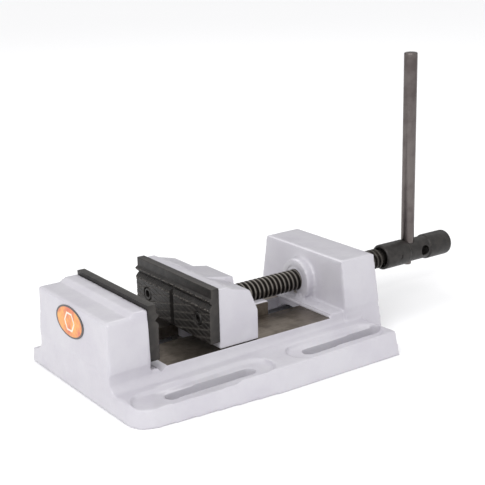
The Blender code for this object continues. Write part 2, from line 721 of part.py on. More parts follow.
def stitch(bm, edge, corner, ring):
    """Join a helical edge, one turn long, to a plain ring, past the ridge's end corner."""
    for k in range(THREAD_STEPS - 1):
        bm.faces.new((edge[k], edge[k + 1], ring[k + 1], ring[k]))
    k = THREAD_STEPS - 1
    bm.faces.new((edge[k], edge[k + 1], corner))
    bm.faces.new((edge[k], corner, edge[0]))
    bm.faces.new((edge[k], edge[0], ring[0], ring[k]))


def lead_screw(steel, spindle):
    """Screw: tip and groove inside the jaw, thread, neck and stub for the head."""
    root = SCREW_DIAMETER / 2 - SCREW_THREAD_DEPTH
    full = SCREW_DIAMETER / 2
    groove = full - RETAINING_GROOVE_DEPTH
    half = RETAINING_GROOVE_WIDTH / 2
    bm = bmesh.new()
    first, last = thread_mesh(bm, *SCREW_THREAD_X, root, full)
    tip = ((SCREW_THREAD_X[0], root), (SCREW_THREAD_X[0] - 0.002, full),
           (RETAINING_GROOVE_X + half, full), (RETAINING_GROOVE_X + half, groove),
           (RETAINING_GROOVE_X - half, groove), (RETAINING_GROOVE_X - half, full),
           (SCREW_TIP_X + 0.001, full), (SCREW_TIP_X, full - 0.001))
    neck = SCREW_NECK_DIAMETER / 2
    tail_end = ((SCREW_THREAD_X[1], root), (SCREW_THREAD_X[1] + 0.001, neck),
                (SCREW_STUB_END_X, neck))
    for (edge, corner), profile, turn in ((first, tip, 1), (last, tail_end, -1)):
        ring = ring_at(bm, *profile[0])
        around = [ring[(turn * k) % THREAD_STEPS] for k in range(THREAD_STEPS)]
        stitch(bm, edge, corner, around)
        for x, radius in profile[1:]:
            following = ring_at(bm, x, radius)
            for k in range(THREAD_STEPS):
                m = (k + 1) % THREAD_STEPS
                bm.faces.new((ring[k], ring[m], following[m], following[k]))
            ring = following
        bm.faces.new(ring)
    bmesh.ops.translate(bm, verts=bm.verts, vec=(-SCREW_TIP_X, 0, 0))
    screw = add_mesh("lead_screw", bm)
    screw.location = (SCREW_TIP_X, 0, SCREW_HEIGHT)
    bpy.context.view_layer.update()
    cut(screw, head_pin("head_pin_hole", CLEARANCE))
    return finish(screw, steel, spindle)


def head_pin(name, growth):
    """Cross pin that fixes the head on the screw."""
    length = HEAD_DIAMETER - 1.0 * MM + 20 * growth
    start = (HEAD_PIN_X, -length / 2, SCREW_HEIGHT)
    return cylinder(name, (0, 1, 0), start, length, HEAD_PIN_DIAMETER + 2 * growth,
                    SMALL_ROUND_STEPS)


def handle_head(black_steel, spindle):
    """Turned head with a hollow front end, two cross holes and a round nose."""
    full = HEAD_DIAMETER / 2
    waist = HEAD_WAIST_DIAMETER / 2
    edge = 1.0 * MM
    start, end = HEAD_X
    profile = [(start, full - edge), (start + edge, full), (HEAD_WAIST_X[0], full),
               (HEAD_WAIST_X[0] + edge, waist), (HEAD_WAIST_X[1] - edge, waist),
               (HEAD_WAIST_X[1], full)]
    for k in range(5):
        angle = radians(90 * k / 4)
        profile.append((end - HEAD_ROUND + HEAD_ROUND * sin(angle),
                        full - HEAD_ROUND + HEAD_ROUND * cos(angle)))
    head = turned("handle_head", profile, (1, 0, 0), (0, 0, SCREW_HEIGHT))
    socket = SCREW_NECK_DIAMETER / 2 + CLEARANCE
    recess = HEAD_RECESS_DIAMETER / 2
    depth = SCREW_STUB_END_X + CLEARANCE
    bore = ((start - 0.001, recess), (start + HEAD_RECESS_DEPTH, recess),
            (start + HEAD_RECESS_DEPTH, socket), (depth, socket))
    cut(head, turned("head_bore", bore, (1, 0, 0), (0, 0, SCREW_HEIGHT)))
    cut(head, cylinder("spare_hole", (0, 1, 0), (SPARE_HOLE_X, -0.02, SCREW_HEIGHT), 0.04,
                       SPARE_HOLE_DIAMETER, SMALL_ROUND_STEPS))
    cut(head, tommy_bar_body("bar_hole", CLEARANCE), head_pin("head_pin_bore", CLEARANCE))
    return finish(head, black_steel, spindle)


def bar_shoulder():
    """Height of the shoulder on which the bar rests in the head."""
    bottom = SCREW_HEIGHT - HEAD_WAIST_DIAMETER / 2 - BAR_TIP_BELOW_HEAD
    return bottom + BAR_TIP_LENGTH


def tommy_bar_body(name, growth):
    """Bar with a reduced tip; grown, it is the cutter for its hole."""
    radius = BAR_DIAMETER / 2 + growth
    tip = BAR_TIP_DIAMETER / 2 + growth
    shoulder = bar_shoulder() - growth
    bottom = shoulder - BAR_TIP_LENGTH - 10 * growth
    chamfer = BAR_CHAMFER
    profile = ((bottom, tip - chamfer / 2), (bottom + chamfer / 2, tip), (shoulder, tip),
               (shoulder, radius), (BAR_TOP - chamfer, radius), (BAR_TOP, radius - chamfer))
    return turned(name, profile, (0, 0, 1), (BAR_X, 0, 0))


def tommy_bar(steel, lift):
    """Loose bar that stands in the head and lifts out."""
    return finish(tommy_bar_body("tommy_bar", 0.0), steel, lift)


# ------------------------------------------------------------ nut and label
def screw_nut(enamel):
    """Nut bush, painted with its block; its plain bore stands for the thread."""
    front = REAR_BLOCK_FRONT_X - REAR_BOSS_LENGTH
    seat = REAR_BLOCK_BACK_X + 2.0 * MM
    body = NUT_DIAMETER / 2
    collar = NUT_DIAMETER / 2 + NUT_FLANGE_LIP
    profile = ((front, body), (seat, body), (seat, collar), (seat + NUT_FLANGE_THICKNESS, collar))
    nut = turned("screw_nut", profile, (1, 0, 0), (0, 0, SCREW_HEIGHT))
    bore = cylinder("nut_bore_cut", (1, 0, 0), (front - 0.01, 0, SCREW_HEIGHT), 0.08,
                    SCREW_DIAMETER + 2 * CLEARANCE)
    cut(nut, bore, key_cut("nut_key_cut", CLEARANCE))
    finish(nut, enamel)


def nut_key(steel):
    """Headless key screw between nut and boss."""
    finish(key_cut("nut_key_screw", 0.0), steel)


def name_label(print_material):
    """Plain oval label on the fixed jaw's end face."""
    lean = END_DRAFT / FIXED_TOP_HEIGHT
    sections = []
    for offset in (-CLEARANCE / 10, -CLEARANCE / 10 - LABEL_THICKNESS):
        section = []
        for k in range(ROUND_STEPS):
            angle = 2 * pi * k / ROUND_STEPS
            y = LABEL_Y + LABEL_LENGTH / 2 * cos(angle)
            z = LABEL_Z + LABEL_HEIGHT / 2 * sin(angle)
            section.append((z * lean + offset, y, z))
        sections.append(section)
    finish(loft("name_label", sections), print_material)


def centre_on_base():
    """Move the whole model so that the middle of its footprint is the origin."""
    shift = Vector((-HEAD_X[1] / 2, (NEAR_EDGE_Y - FAR_EDGE_Y) / 2, 0.0))
    for item in bpy.data.objects:
        if item.parent is None:
            item.location += shift


def main():
    """Build every piece."""
    clear_scene()
    enamel = material("grey_enamel", (0.66, 0.65, 0.68), 0.38)
    black = material("black_oxide_steel", (0.045, 0.043, 0.042), 0.45, 1.0)
    bright = material("bright_steel", (0.42, 0.40, 0.38), 0.35, 1.0)
    brown = material("brown_bar_steel", (0.16, 0.13, 0.11), 0.38, 1.0)
    print_ink = material("label_film", (0.80, 0.42, 0.12), 0.40)

    carriage = pivot("jaw_carriage", (JAW_BACK_X, 0, SCREW_HEIGHT))
    spindle = pivot("screw_axis", (HEAD_X[0], 0, SCREW_HEIGHT), carriage)
    lift = pivot("bar_axis", (BAR_X, 0, SCREW_HEIGHT), spindle)

    body_casting(enamel)
    jaw_plate("fixed_jaw_plate", FIXED_BLOCK_FRONT_X, 1, black)
    plate_screws("fixed_jaw_screw", FIXED_BLOCK_FRONT_X, 1, black)
    screw_nut(enamel)
    nut_key(bright)
    name_label(print_ink)

    movable_jaw_casting(enamel, carriage)
    jaw_plate("movable_jaw_plate", JAW_BACK_X, -1, black, carriage)
    plate_screws("movable_jaw_screw", JAW_BACK_X, -1, black, carriage)
    keeper(bright, black, carriage)
    jaw_inner_parts(bright, carriage)

    lead_screw(black, spindle)
    handle_head(black, spindle)
    finish(head_pin("head_pin", 0.0), bright, spindle)
    tommy_bar(brown, lift)
    centre_on_base()


main()
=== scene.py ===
"""Looks of a low-profile machine vise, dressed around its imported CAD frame.

The painted castings are skinned from their CAD solids, rounded as a sand mould
rounds them, and then machined where the real ones are.  The steel pieces are
turned, threaded or serrated from a few sizes.  Lengths are in metres.
"""

import logging
import math
from collections.abc import Iterator
from contextlib import contextmanager
from dataclasses import dataclass
from enum import Enum
from typing import ClassVar

import bmesh
import bpy
import numpy as np
from bpy.types import Material, Mesh, Node, NodeSocket, NodeTree, Object
from mathutils import Matrix, Vector


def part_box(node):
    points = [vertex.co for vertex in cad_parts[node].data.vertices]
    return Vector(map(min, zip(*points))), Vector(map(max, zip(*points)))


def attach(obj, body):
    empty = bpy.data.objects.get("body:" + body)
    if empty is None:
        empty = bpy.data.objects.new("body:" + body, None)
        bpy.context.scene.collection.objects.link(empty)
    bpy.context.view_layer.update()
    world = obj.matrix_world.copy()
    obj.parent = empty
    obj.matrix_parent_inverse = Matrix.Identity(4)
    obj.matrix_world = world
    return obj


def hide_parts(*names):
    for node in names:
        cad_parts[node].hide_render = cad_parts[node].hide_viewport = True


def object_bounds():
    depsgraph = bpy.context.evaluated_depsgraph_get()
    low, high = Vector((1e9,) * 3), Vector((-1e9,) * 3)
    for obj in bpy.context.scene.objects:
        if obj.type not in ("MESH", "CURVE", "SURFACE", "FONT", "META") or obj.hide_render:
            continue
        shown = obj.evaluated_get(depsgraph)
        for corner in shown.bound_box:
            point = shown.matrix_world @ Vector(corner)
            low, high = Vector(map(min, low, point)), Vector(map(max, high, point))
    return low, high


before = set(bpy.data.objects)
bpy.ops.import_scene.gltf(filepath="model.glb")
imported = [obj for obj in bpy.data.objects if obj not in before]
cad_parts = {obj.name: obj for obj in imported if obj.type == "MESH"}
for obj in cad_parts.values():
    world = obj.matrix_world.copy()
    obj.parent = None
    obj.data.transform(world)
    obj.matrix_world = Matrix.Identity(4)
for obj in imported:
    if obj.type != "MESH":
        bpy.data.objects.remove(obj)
CAD_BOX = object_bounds()

LOG = logging.getLogger("vise")
MM = 0.001
DOUBLES = 0.001 * MM  # points closer than this are one


# ------------------------------------------------------------------ helpers
def middle_of(node: str) -> Vector:
    """Return the middle of a CAD node's box."""
    low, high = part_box(node)
    return (low + high) / 2


SCREW_AXIS = middle_of("lead_screw")
ALONG_SCREW = (1, 0, 0)
ACROSS = (0, 1, 0)
UP = (0, 0, 1)


def at(x: float, y: float, z: float) -> Vector:
    """Place a point measured from the end face, the screw's plane and the table."""
    return Vector((CAD_BOX[0].x + x, SCREW_AXIS.y + y, z))


def linear(hex_colour: str) -> tuple[float, float, float, float]:
    """Turn an sRGB hex colour into linear RGBA.

    Args:
        hex_colour: Six hex digits, with or without a leading #.

    Returns:
        Red, green, blue and an alpha of one.
    """
    digits = hex_colour.lstrip("#")
    channels = [int(digits[i:i + 2], 16) / 255 for i in (0, 2, 4)]
    values = [c / 12.92 if c <= 0.04045 else ((c + 0.055) / 1.055) ** 2.4 for c in channels]
    return (*values, 1.0)


def add_node(tree: NodeTree, kind: str, settings: dict | None = None,
             inputs: dict | None = None) -> Node:
    """Add a node with its settings, socket values and incoming links.

    Args:
        tree: Shader or geometry tree that gets the node.
        kind: The node's bl_idname.
        settings: Attribute names and values.
        inputs: Socket names or indices, each with a value or an output socket.

    Returns:
        The new node.
    """
    node = tree.nodes.new(kind)
    for name, value in (settings or {}).items():
        setattr(node, name, value)
    for name, value in (inputs or {}).items():
        if isinstance(value, NodeSocket):
            tree.links.new(value, node.inputs[name])
        else:
            node.inputs[name].default_value = value
    return node


def make_object(name: str, mesh: Mesh) -> Object:
    """Link a mesh into the scene as an object at the origin.

    Args:
        name: Name of the object.
        mesh: Its mesh.

    Returns:
        The object.
    """
    item = bpy.data.objects.new(name, mesh)
    bpy.context.scene.collection.objects.link(item)
    return item


@contextmanager
def editing(mesh: Mesh) -> Iterator[bmesh.types.BMesh]:
    """Open a mesh as a BMesh, and write it back at the end.

    Args:
        mesh: The mesh.

    Returns:
        The BMesh, while it is open.
    """
    bm = bmesh.new()
    bm.from_mesh(mesh)
    yield bm
    bm.to_mesh(mesh)
    bm.free()


def mesh_from(name: str, vertices: list, faces: list) -> Mesh:
    """Make a mesh with its doubles merged and its faces outwards.

    Args:
        name: Name of the mesh.
        vertices: Points.
        faces: Vertex indices of each face.

    Returns:
        The mesh.
    """
    mesh = bpy.data.meshes.new(name)
    mesh.from_pydata([tuple(v) for v in vertices], [], faces)
    with editing(mesh) as bm:
        bmesh.ops.remove_doubles(bm, verts=bm.verts, dist=DOUBLES)
        bmesh.ops.recalc_face_normals(bm, faces=bm.faces)
    return mesh


def box_mesh(name: str, low: Vector, high: Vector) -> Mesh:
    """Return a box between two corners.

    Args:
        name: Name of the mesh.
        low: Lowest corner.
        high: Highest corner.

    Returns:
        The mesh.
    """
    corners = [(x, y, z) for x in (low[0], high[0]) for y in (low[1], high[1])
               for z in (low[2], high[2])]
    faces = [(0, 1, 3, 2), (4, 6, 7, 5), (0, 4, 5, 1), (2, 3, 7, 6), (0, 2, 6, 4), (1, 5, 7, 3)]
    return mesh_from(name, corners, faces)


def turned_mesh(name: str, profile: list, origin: Vector, axis: tuple, steps: int) -> Mesh:
    """Turn a profile round an axis, closed at both ends.

    Args:
        name: Name of the mesh.
        profile: Pairs of distance along the axis and radius.
        origin: Where the distance is zero.
        axis: Direction of the axis.
        steps: Number of flats round the axis.

    Returns:
        The mesh.
    """
    turn = Vector(UP).rotation_difference(Vector(axis)).to_matrix()
    vertices = []
    faces = []
    for along, radius in profile:
        for k in range(steps):
            angle = 2 * math.pi * k / steps
            local = Vector((radius * math.cos(angle), radius * math.sin(angle), along))
            vertices.append(turn @ local + Vector(origin))
    for row in range(len(profile) - 1):
        for k in range(steps):
            m = (k + 1) % steps
            a, b = row * steps, (row + 1) * steps
            faces.append((a + k, a + m, b + m, b + k))
    faces.append(tuple(range(steps)))
    last = (len(profile) - 1) * steps
    faces.append(tuple(range(last, last + steps)))
    return mesh_from(name, vertices, faces)


def rounded(profile: list, radius: float, steps: int) -> list:
    """Round the corners of a profile, other than its first and last point.

    Args:
        profile: Pairs of distance and radius.
        radius: Length taken off each side of a corner.
        steps: Number of segments in each round.

    Returns:
        The longer profile.
    """
    points = [Vector(p) for p in profile]
    result = [tuple(points[0])]
    for before, corner, after in zip(points, points[1:], points[2:]):
        reach = min(radius, (corner - before).length / 2.2, (after - corner).length / 2.2)
        start = corner + (before - corner).normalized() * reach
        end = corner + (after - corner).normalized() * reach
        for k in range(steps + 1):
            t = k / steps
            result.append(tuple(start.lerp(corner, t).lerp(corner.lerp(end, t), t)))
    result.append(tuple(points[-1]))
    return result


def apply_modifiers(item: Object) -> None:
    """Apply an object's modifiers, and drop them.

    Args:
        item: The object, which gets a new mesh.
    """
    graph = bpy.context.evaluated_depsgraph_get()
    mesh = bpy.data.meshes.new_from_object(item.evaluated_get(graph), depsgraph=graph)
    item.modifiers.clear()
    item.data = mesh


def carve(item: Object, tools: list, operation: str = "DIFFERENCE") -> None:
    """Apply a Boolean with each tool, then delete the tools.

    Args:
        item: Object that is changed.
        tools: Cutter objects, whose materials the cut faces take.
        operation: DIFFERENCE, UNION or INTERSECT.
    """
    for tool in tools:
        modifier = item.modifiers.new(tool.name, "BOOLEAN")
        modifier.operation = operation
        modifier.solver = "EXACT"
        modifier.material_mode = "TRANSFER"
        modifier.object = tool
    apply_modifiers(item)
    for tool in tools:
        bpy.data.objects.remove(tool, do_unlink=True)


def sharpen(item: Object, degrees: float) -> None:
    """Shade smooth, but keep edges sharper than an angle crisp."""
    item.data.shade_smooth()
    item.data.set_sharp_from_angle(angle=math.radians(degrees))


def cutter(name: str, mesh: Mesh, shader: Material) -> Object:
    """Make a cutter that leaves its own material on what it cuts.

    Args:
        name: Name of the cutter.
        mesh: Its shape.
        shader: Its material.

    Returns:
        The cutter.
    """
    tool = make_object(name, mesh)
    tool.data.materials.append(shader)
    return tool


def drill(name: str, profile: list, origin: Vector, axis: tuple, steps: int,
          shader: Material) -> Object:
    """Make a turned cutter, with the arguments of turned_mesh and its material."""
    return cutter(name, turned_mesh(name, profile, origin, axis, steps), shader)


def place(item: Object, body: str, nodes: list[str]) -> None:
    """Hang a finished piece on its body, in place of CAD nodes.

    Args:
        item: The piece.
        body: CAD body that it moves with.
        nodes: CAD nodes that it stands for.
    """
    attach(item, body)
    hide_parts(*nodes)
    LOG.info("%s: %d faces, on %s", item.name, len(item.data.polygons), body)


# ----------------------------------------------------------------- finishes
class Grain(Enum):
    """Direction in which a tool's marks run."""

    ALONG_X = (0.05, 1.0, 1.0)
    ALONG_Z = (1.0, 1.0, 0.04)
    EVEN = (1.0, 1.0, 1.0)


def per_metre(size_mm: float) -> float:
    """Return the noise scale whose cells are about size_mm across."""
    return 1.0 / (size_mm * MM)


@dataclass(frozen=True)
class Finish:
    """A surface made of a colour, its variation, its gloss and its relief.

    Attributes:
        name: Name of the material.
        colour: Main colour, sRGB hex.
        second: Colour that the variation leads to, sRGB hex.
        patch_mm: Size of the patches of colour.
        roughness: Lowest and highest roughness.
        metallic: One for bare metal, zero for paint.
        grain_mm: Size of the relief.
        relief_mm: Height of the relief.
        marks: Direction in which the relief is drawn out.
        coat: Weight of the clear gloss on top.
        coat_roughness: Roughness of that gloss.
        wear: Colour of worn edges, or nothing where they do not show; on the thread's crests it is also a
            painted highlight.
    """

    name: str
    colour: str
    second: str
    patch_mm: float
    roughness: tuple[float, float]
    metallic: float = 0.0
    grain_mm: float = 1.0
    relief_mm: float = 0.02
    marks: Grain = Grain.EVEN
    coat: float = 0.0
    coat_roughness: float = 0.1
    wear: str = ""

    def material(self) -> Material:
        """Build the node material.

        Returns:
            The material.
        """
        made = bpy.data.materials.new(self.name)
        made.use_nodes = True
        tree = made.node_tree
        shader = tree.nodes["Principled BSDF"]
        place_node = add_node(tree, "ShaderNodeTexCoord")
        stretched = add_node(tree, "ShaderNodeMapping", None,
                             {"Vector": place_node.outputs["Object"], "Scale": self.marks.value})
        patches = add_node(tree, "ShaderNodeTexNoise", None, {
            "Vector": place_node.outputs["Object"], "Scale": per_metre(self.patch_mm),
            "Detail": 5.0, "Roughness": 0.6})
        fine = add_node(tree, "ShaderNodeTexNoise", None, {
            "Vector": stretched.outputs["Vector"], "Scale": per_metre(self.grain_mm),
            "Detail": 4.0, "Roughness": 0.55})
        spread = add_node(tree, "ShaderNodeMapRange", {"interpolation_type": "SMOOTHSTEP"}, {
            "Value": patches.outputs["Fac"], "From Min": 0.35, "From Max": 0.68})
        colour = add_node(tree, "ShaderNodeMix", {"data_type": "RGBA"}, {
            0: spread.outputs["Result"], 6: linear(self.colour), 7: linear(self.second)})
        gloss = add_node(tree, "ShaderNodeMapRange", None, {
            "Value": fine.outputs["Fac"], "From Min": 0.3, "From Max": 0.7,
            "To Min": self.roughness[0], "To Max": self.roughness[1]})
        bump = add_node(tree, "ShaderNodeBump", None, {
            "Strength": 1.0, "Distance": self.relief_mm * MM, "Height": fine.outputs["Fac"]})
        last = self.worn(tree, colour.outputs[2])
        tree.links.new(last, shader.inputs["Base Color"])
        tree.links.new(gloss.outputs["Result"], shader.inputs["Roughness"])
        tree.links.new(bump.outputs["Normal"], shader.inputs["Normal"])
        shader.inputs["Metallic"].default_value = self.metallic
        shader.inputs["Coat Weight"].default_value = self.coat
        shader.inputs["Coat Roughness"].default_value = self.coat_roughness
        return made

    def worn(self, tree: NodeTree, base: NodeSocket) -> NodeSocket:
        """Mix in the bare metal that shows where the edge attribute is high, which on the thread is also
        a painted highlight that fades into painted shade.

        Args:
            tree: The material's tree.
            base: Colour before wear.

        Returns:
            The colour socket after wear.
        """
        if not self.wear:
            return base
        edge = add_node(tree, "ShaderNodeAttribute", {"attribute_name": "edge"})
        mixed = add_node(tree, "ShaderNodeMix", {"data_type": "RGBA"}, {
            0: edge.outputs["Fac"], 6: base, 7: linear(self.wear)})
        return mixed.outputs[2]


# Sprayed gloss enamel over sand-cast iron: pale, slightly violet grey, with an orange-peel
# skin over a coarse grain that breaks up its highlights.
ENAMEL = Finish("light_grey_enamel", "#BFBDC3", "#B8B5BD", 34.0, (0.30, 0.44),
                grain_mm=2.4, relief_mm=0.16, coat=0.5, coat_roughness=0.09)
# Milled grey iron, bare: brownish, with fine cutter marks across the bed.
MACHINED_IRON = Finish("milled_cast_iron", "#7D756C", "#635B53", 9.0, (0.34, 0.52), metallic=1.0,
                       grain_mm=1.1, relief_mm=0.03, marks=Grain.ALONG_X)
# Black oxide on ground steel: near black, satin, lighter where the oil has dried.
BLACK_OXIDE = Finish("black_oxide_steel", "#262423", "#34312F", 5.0, (0.36, 0.52), metallic=0.45,
                     grain_mm=0.8, wear="#77726C")
# The same finish on the screw. Its crests are lighter, partly because the nut rubs them bright and partly
# as a painted highlight, and that lightening fades towards the head end as painted shade.
THREAD_STEEL = Finish("rubbed_thread_steel", "#2A2725", "#3A3633", 3.0, (0.26, 0.42), metallic=0.8,
                      grain_mm=0.6, wear="#7A756F")
# Cold-drawn bar with a brown storage tint: long fine streaks, half gloss.
DRAWN_BAR = Finish("drawn_bar_steel", "#706A68", "#5C5554", 16.0, (0.26, 0.40), metallic=1.0,
                   grain_mm=1.2, relief_mm=0.015, marks=Grain.ALONG_Z)
# Bright ground steel of the small hardened pieces: a fine lay, drawn coarse enough to show.
GROUND_STEEL = Finish("ground_steel", "#A8A29A", "#8F8A83", 6.0, (0.28, 0.42), metallic=1.0,
                      grain_mm=0.8, relief_mm=0.01, marks=Grain.ALONG_X)
# Printed polyester film: amber fading to orange, with a gloss laminate over dark and pale ink.
LAMINATE = {"roughness": (0.28, 0.36), "grain_mm": 1.5, "relief_mm": 0.004, "coat": 0.4}
FILM = Finish("amber_label_film", "#E8A23A", "#C9562A", 11.0, **LAMINATE)
DARK_INK = Finish("dark_label_ink", "#221C1A", "#2E2622", 6.0, **LAMINATE)
PALE_INK = Finish("pale_label_ink", "#E9E2D2", "#D9D0BE", 6.0, **LAMINATE)


# ----------------------------------------------------------------- castings
@dataclass
class Casting:
    """A sand casting skinned from its CAD solid, rounded, then machined.

    Attributes:
        name: Name of the finished piece.
        node: CAD node that it stands for.
        body: CAD body that it rides on.
        voxel: Size of the skin's cells.
        passes: Smoothing passes, which set how round the edges are.
        unevenness: Height of the mould's waviness.
        waves: Length in mm and share of each of its waves.
        base: Height from which the surface starts to wave, and where it waves in full.
    """

    name: str
    node: str
    body: str
    voxel: float
    passes: int = 1
    unevenness: float = 0.12 * MM
    waves: tuple = ((31.0, 0.5), (17.0, 0.3), (9.0, 0.2))
    base: tuple = (1.0 * MM, 3.0 * MM)

    def stock(self) -> list[tuple[Vector, Vector]]:
        """Return the boxes of iron that are left on for machining."""
        return []

    def cuts(self) -> list[Mesh]:
        """Return the shapes that the mill and the drill take off."""
        return []

    def boss(self) -> Mesh | None:
        """Return a boss that is added with crisp edges, where there is one."""
        return None

    def openings(self) -> list[Mesh]:
        """Return the shapes that are cut and painted over."""
        return []

    def lift(self, points: np.ndarray) -> np.ndarray:
        """Return how far the cast surface stands proud at each point.

        Args:
            points: Places on the surface, one row each.

        Returns:
            Heights along the normal.
        """
        wave = np.zeros(len(points))
        for step, (size, weight) in enumerate(self.waves):
            x, y, z = (points * (2 * math.pi / (size * MM)) + step * 1.7).T
            wave += weight * np.sin(x + 0.6 * np.sin(y)) * np.sin(y + 0.5 * z) * np.cos(z - 0.4 * x)
        return wave * self.unevenness

    def raw(self, paint: Material) -> Object:
        """Skin the CAD solid and its stock, and round every edge.

        Args:
            paint: Material of the cast surface.

        Returns:
            The rough casting.
        """
        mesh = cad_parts[self.node].data.copy()
        with editing(mesh) as bm:
            bmesh.ops.remove_doubles(bm, verts=bm.verts, dist=DOUBLES)
            for low, high in self.stock():
                bm.from_mesh(box_mesh("stock", low, high))
        item = make_object(self.name, mesh)
        skin = item.modifiers.new("skin", "REMESH")
        skin.mode = "VOXEL"
        skin.voxel_size = self.voxel
        smooth = item.modifiers.new("rounding", "SMOOTH")
        smooth.factor = 0.5
        smooth.iterations = self.passes
        apply_modifiers(item)
        item.data.materials.clear()
        item.data.materials.append(paint)
        self.shape(item.data)
        return item

    def shape(self, mesh: Mesh) -> None:
        """Move the skin along its normals by what lift says, other than at the base.

        Args:
            mesh: The skin, which is changed.
        """
        count = len(mesh.vertices)
        points = np.empty(count * 3)
        normals = np.empty(count * 3)
        mesh.vertices.foreach_get("co", points)
        mesh.vertex_normals.foreach_get("vector", normals)
        points = points.reshape(-1, 3)
        normals = normals.reshape(-1, 3)
        start, full = self.base
        clear_of_base = np.clip((points[:, 2] - start) / (full - start), 0.0, 1.0)
        points += normals * (self.lift(points) * clear_of_base)[:, None]
        mesh.vertices.foreach_set("co", points.ravel())
        mesh.update()

    def build(self, paint: Material, bare: Material) -> Object:
        """Make the finished casting.

        Args:
            paint: Material of the cast surface.
            bare: Material of what is machined.

        Returns:
            The piece, on its body.
        """
        item = self.raw(paint)
        if boss := self.boss():
            carve(item, [cutter("boss", boss, paint)], "UNION")
        carve(item, [cutter(mesh.name, mesh, shader)
                     for meshes, shader in ((self.openings(), paint), (self.cuts(), bare))
                     for mesh in meshes])
        sharpen(item, 38.0)
        place(item, self.body, [self.node])
        return item


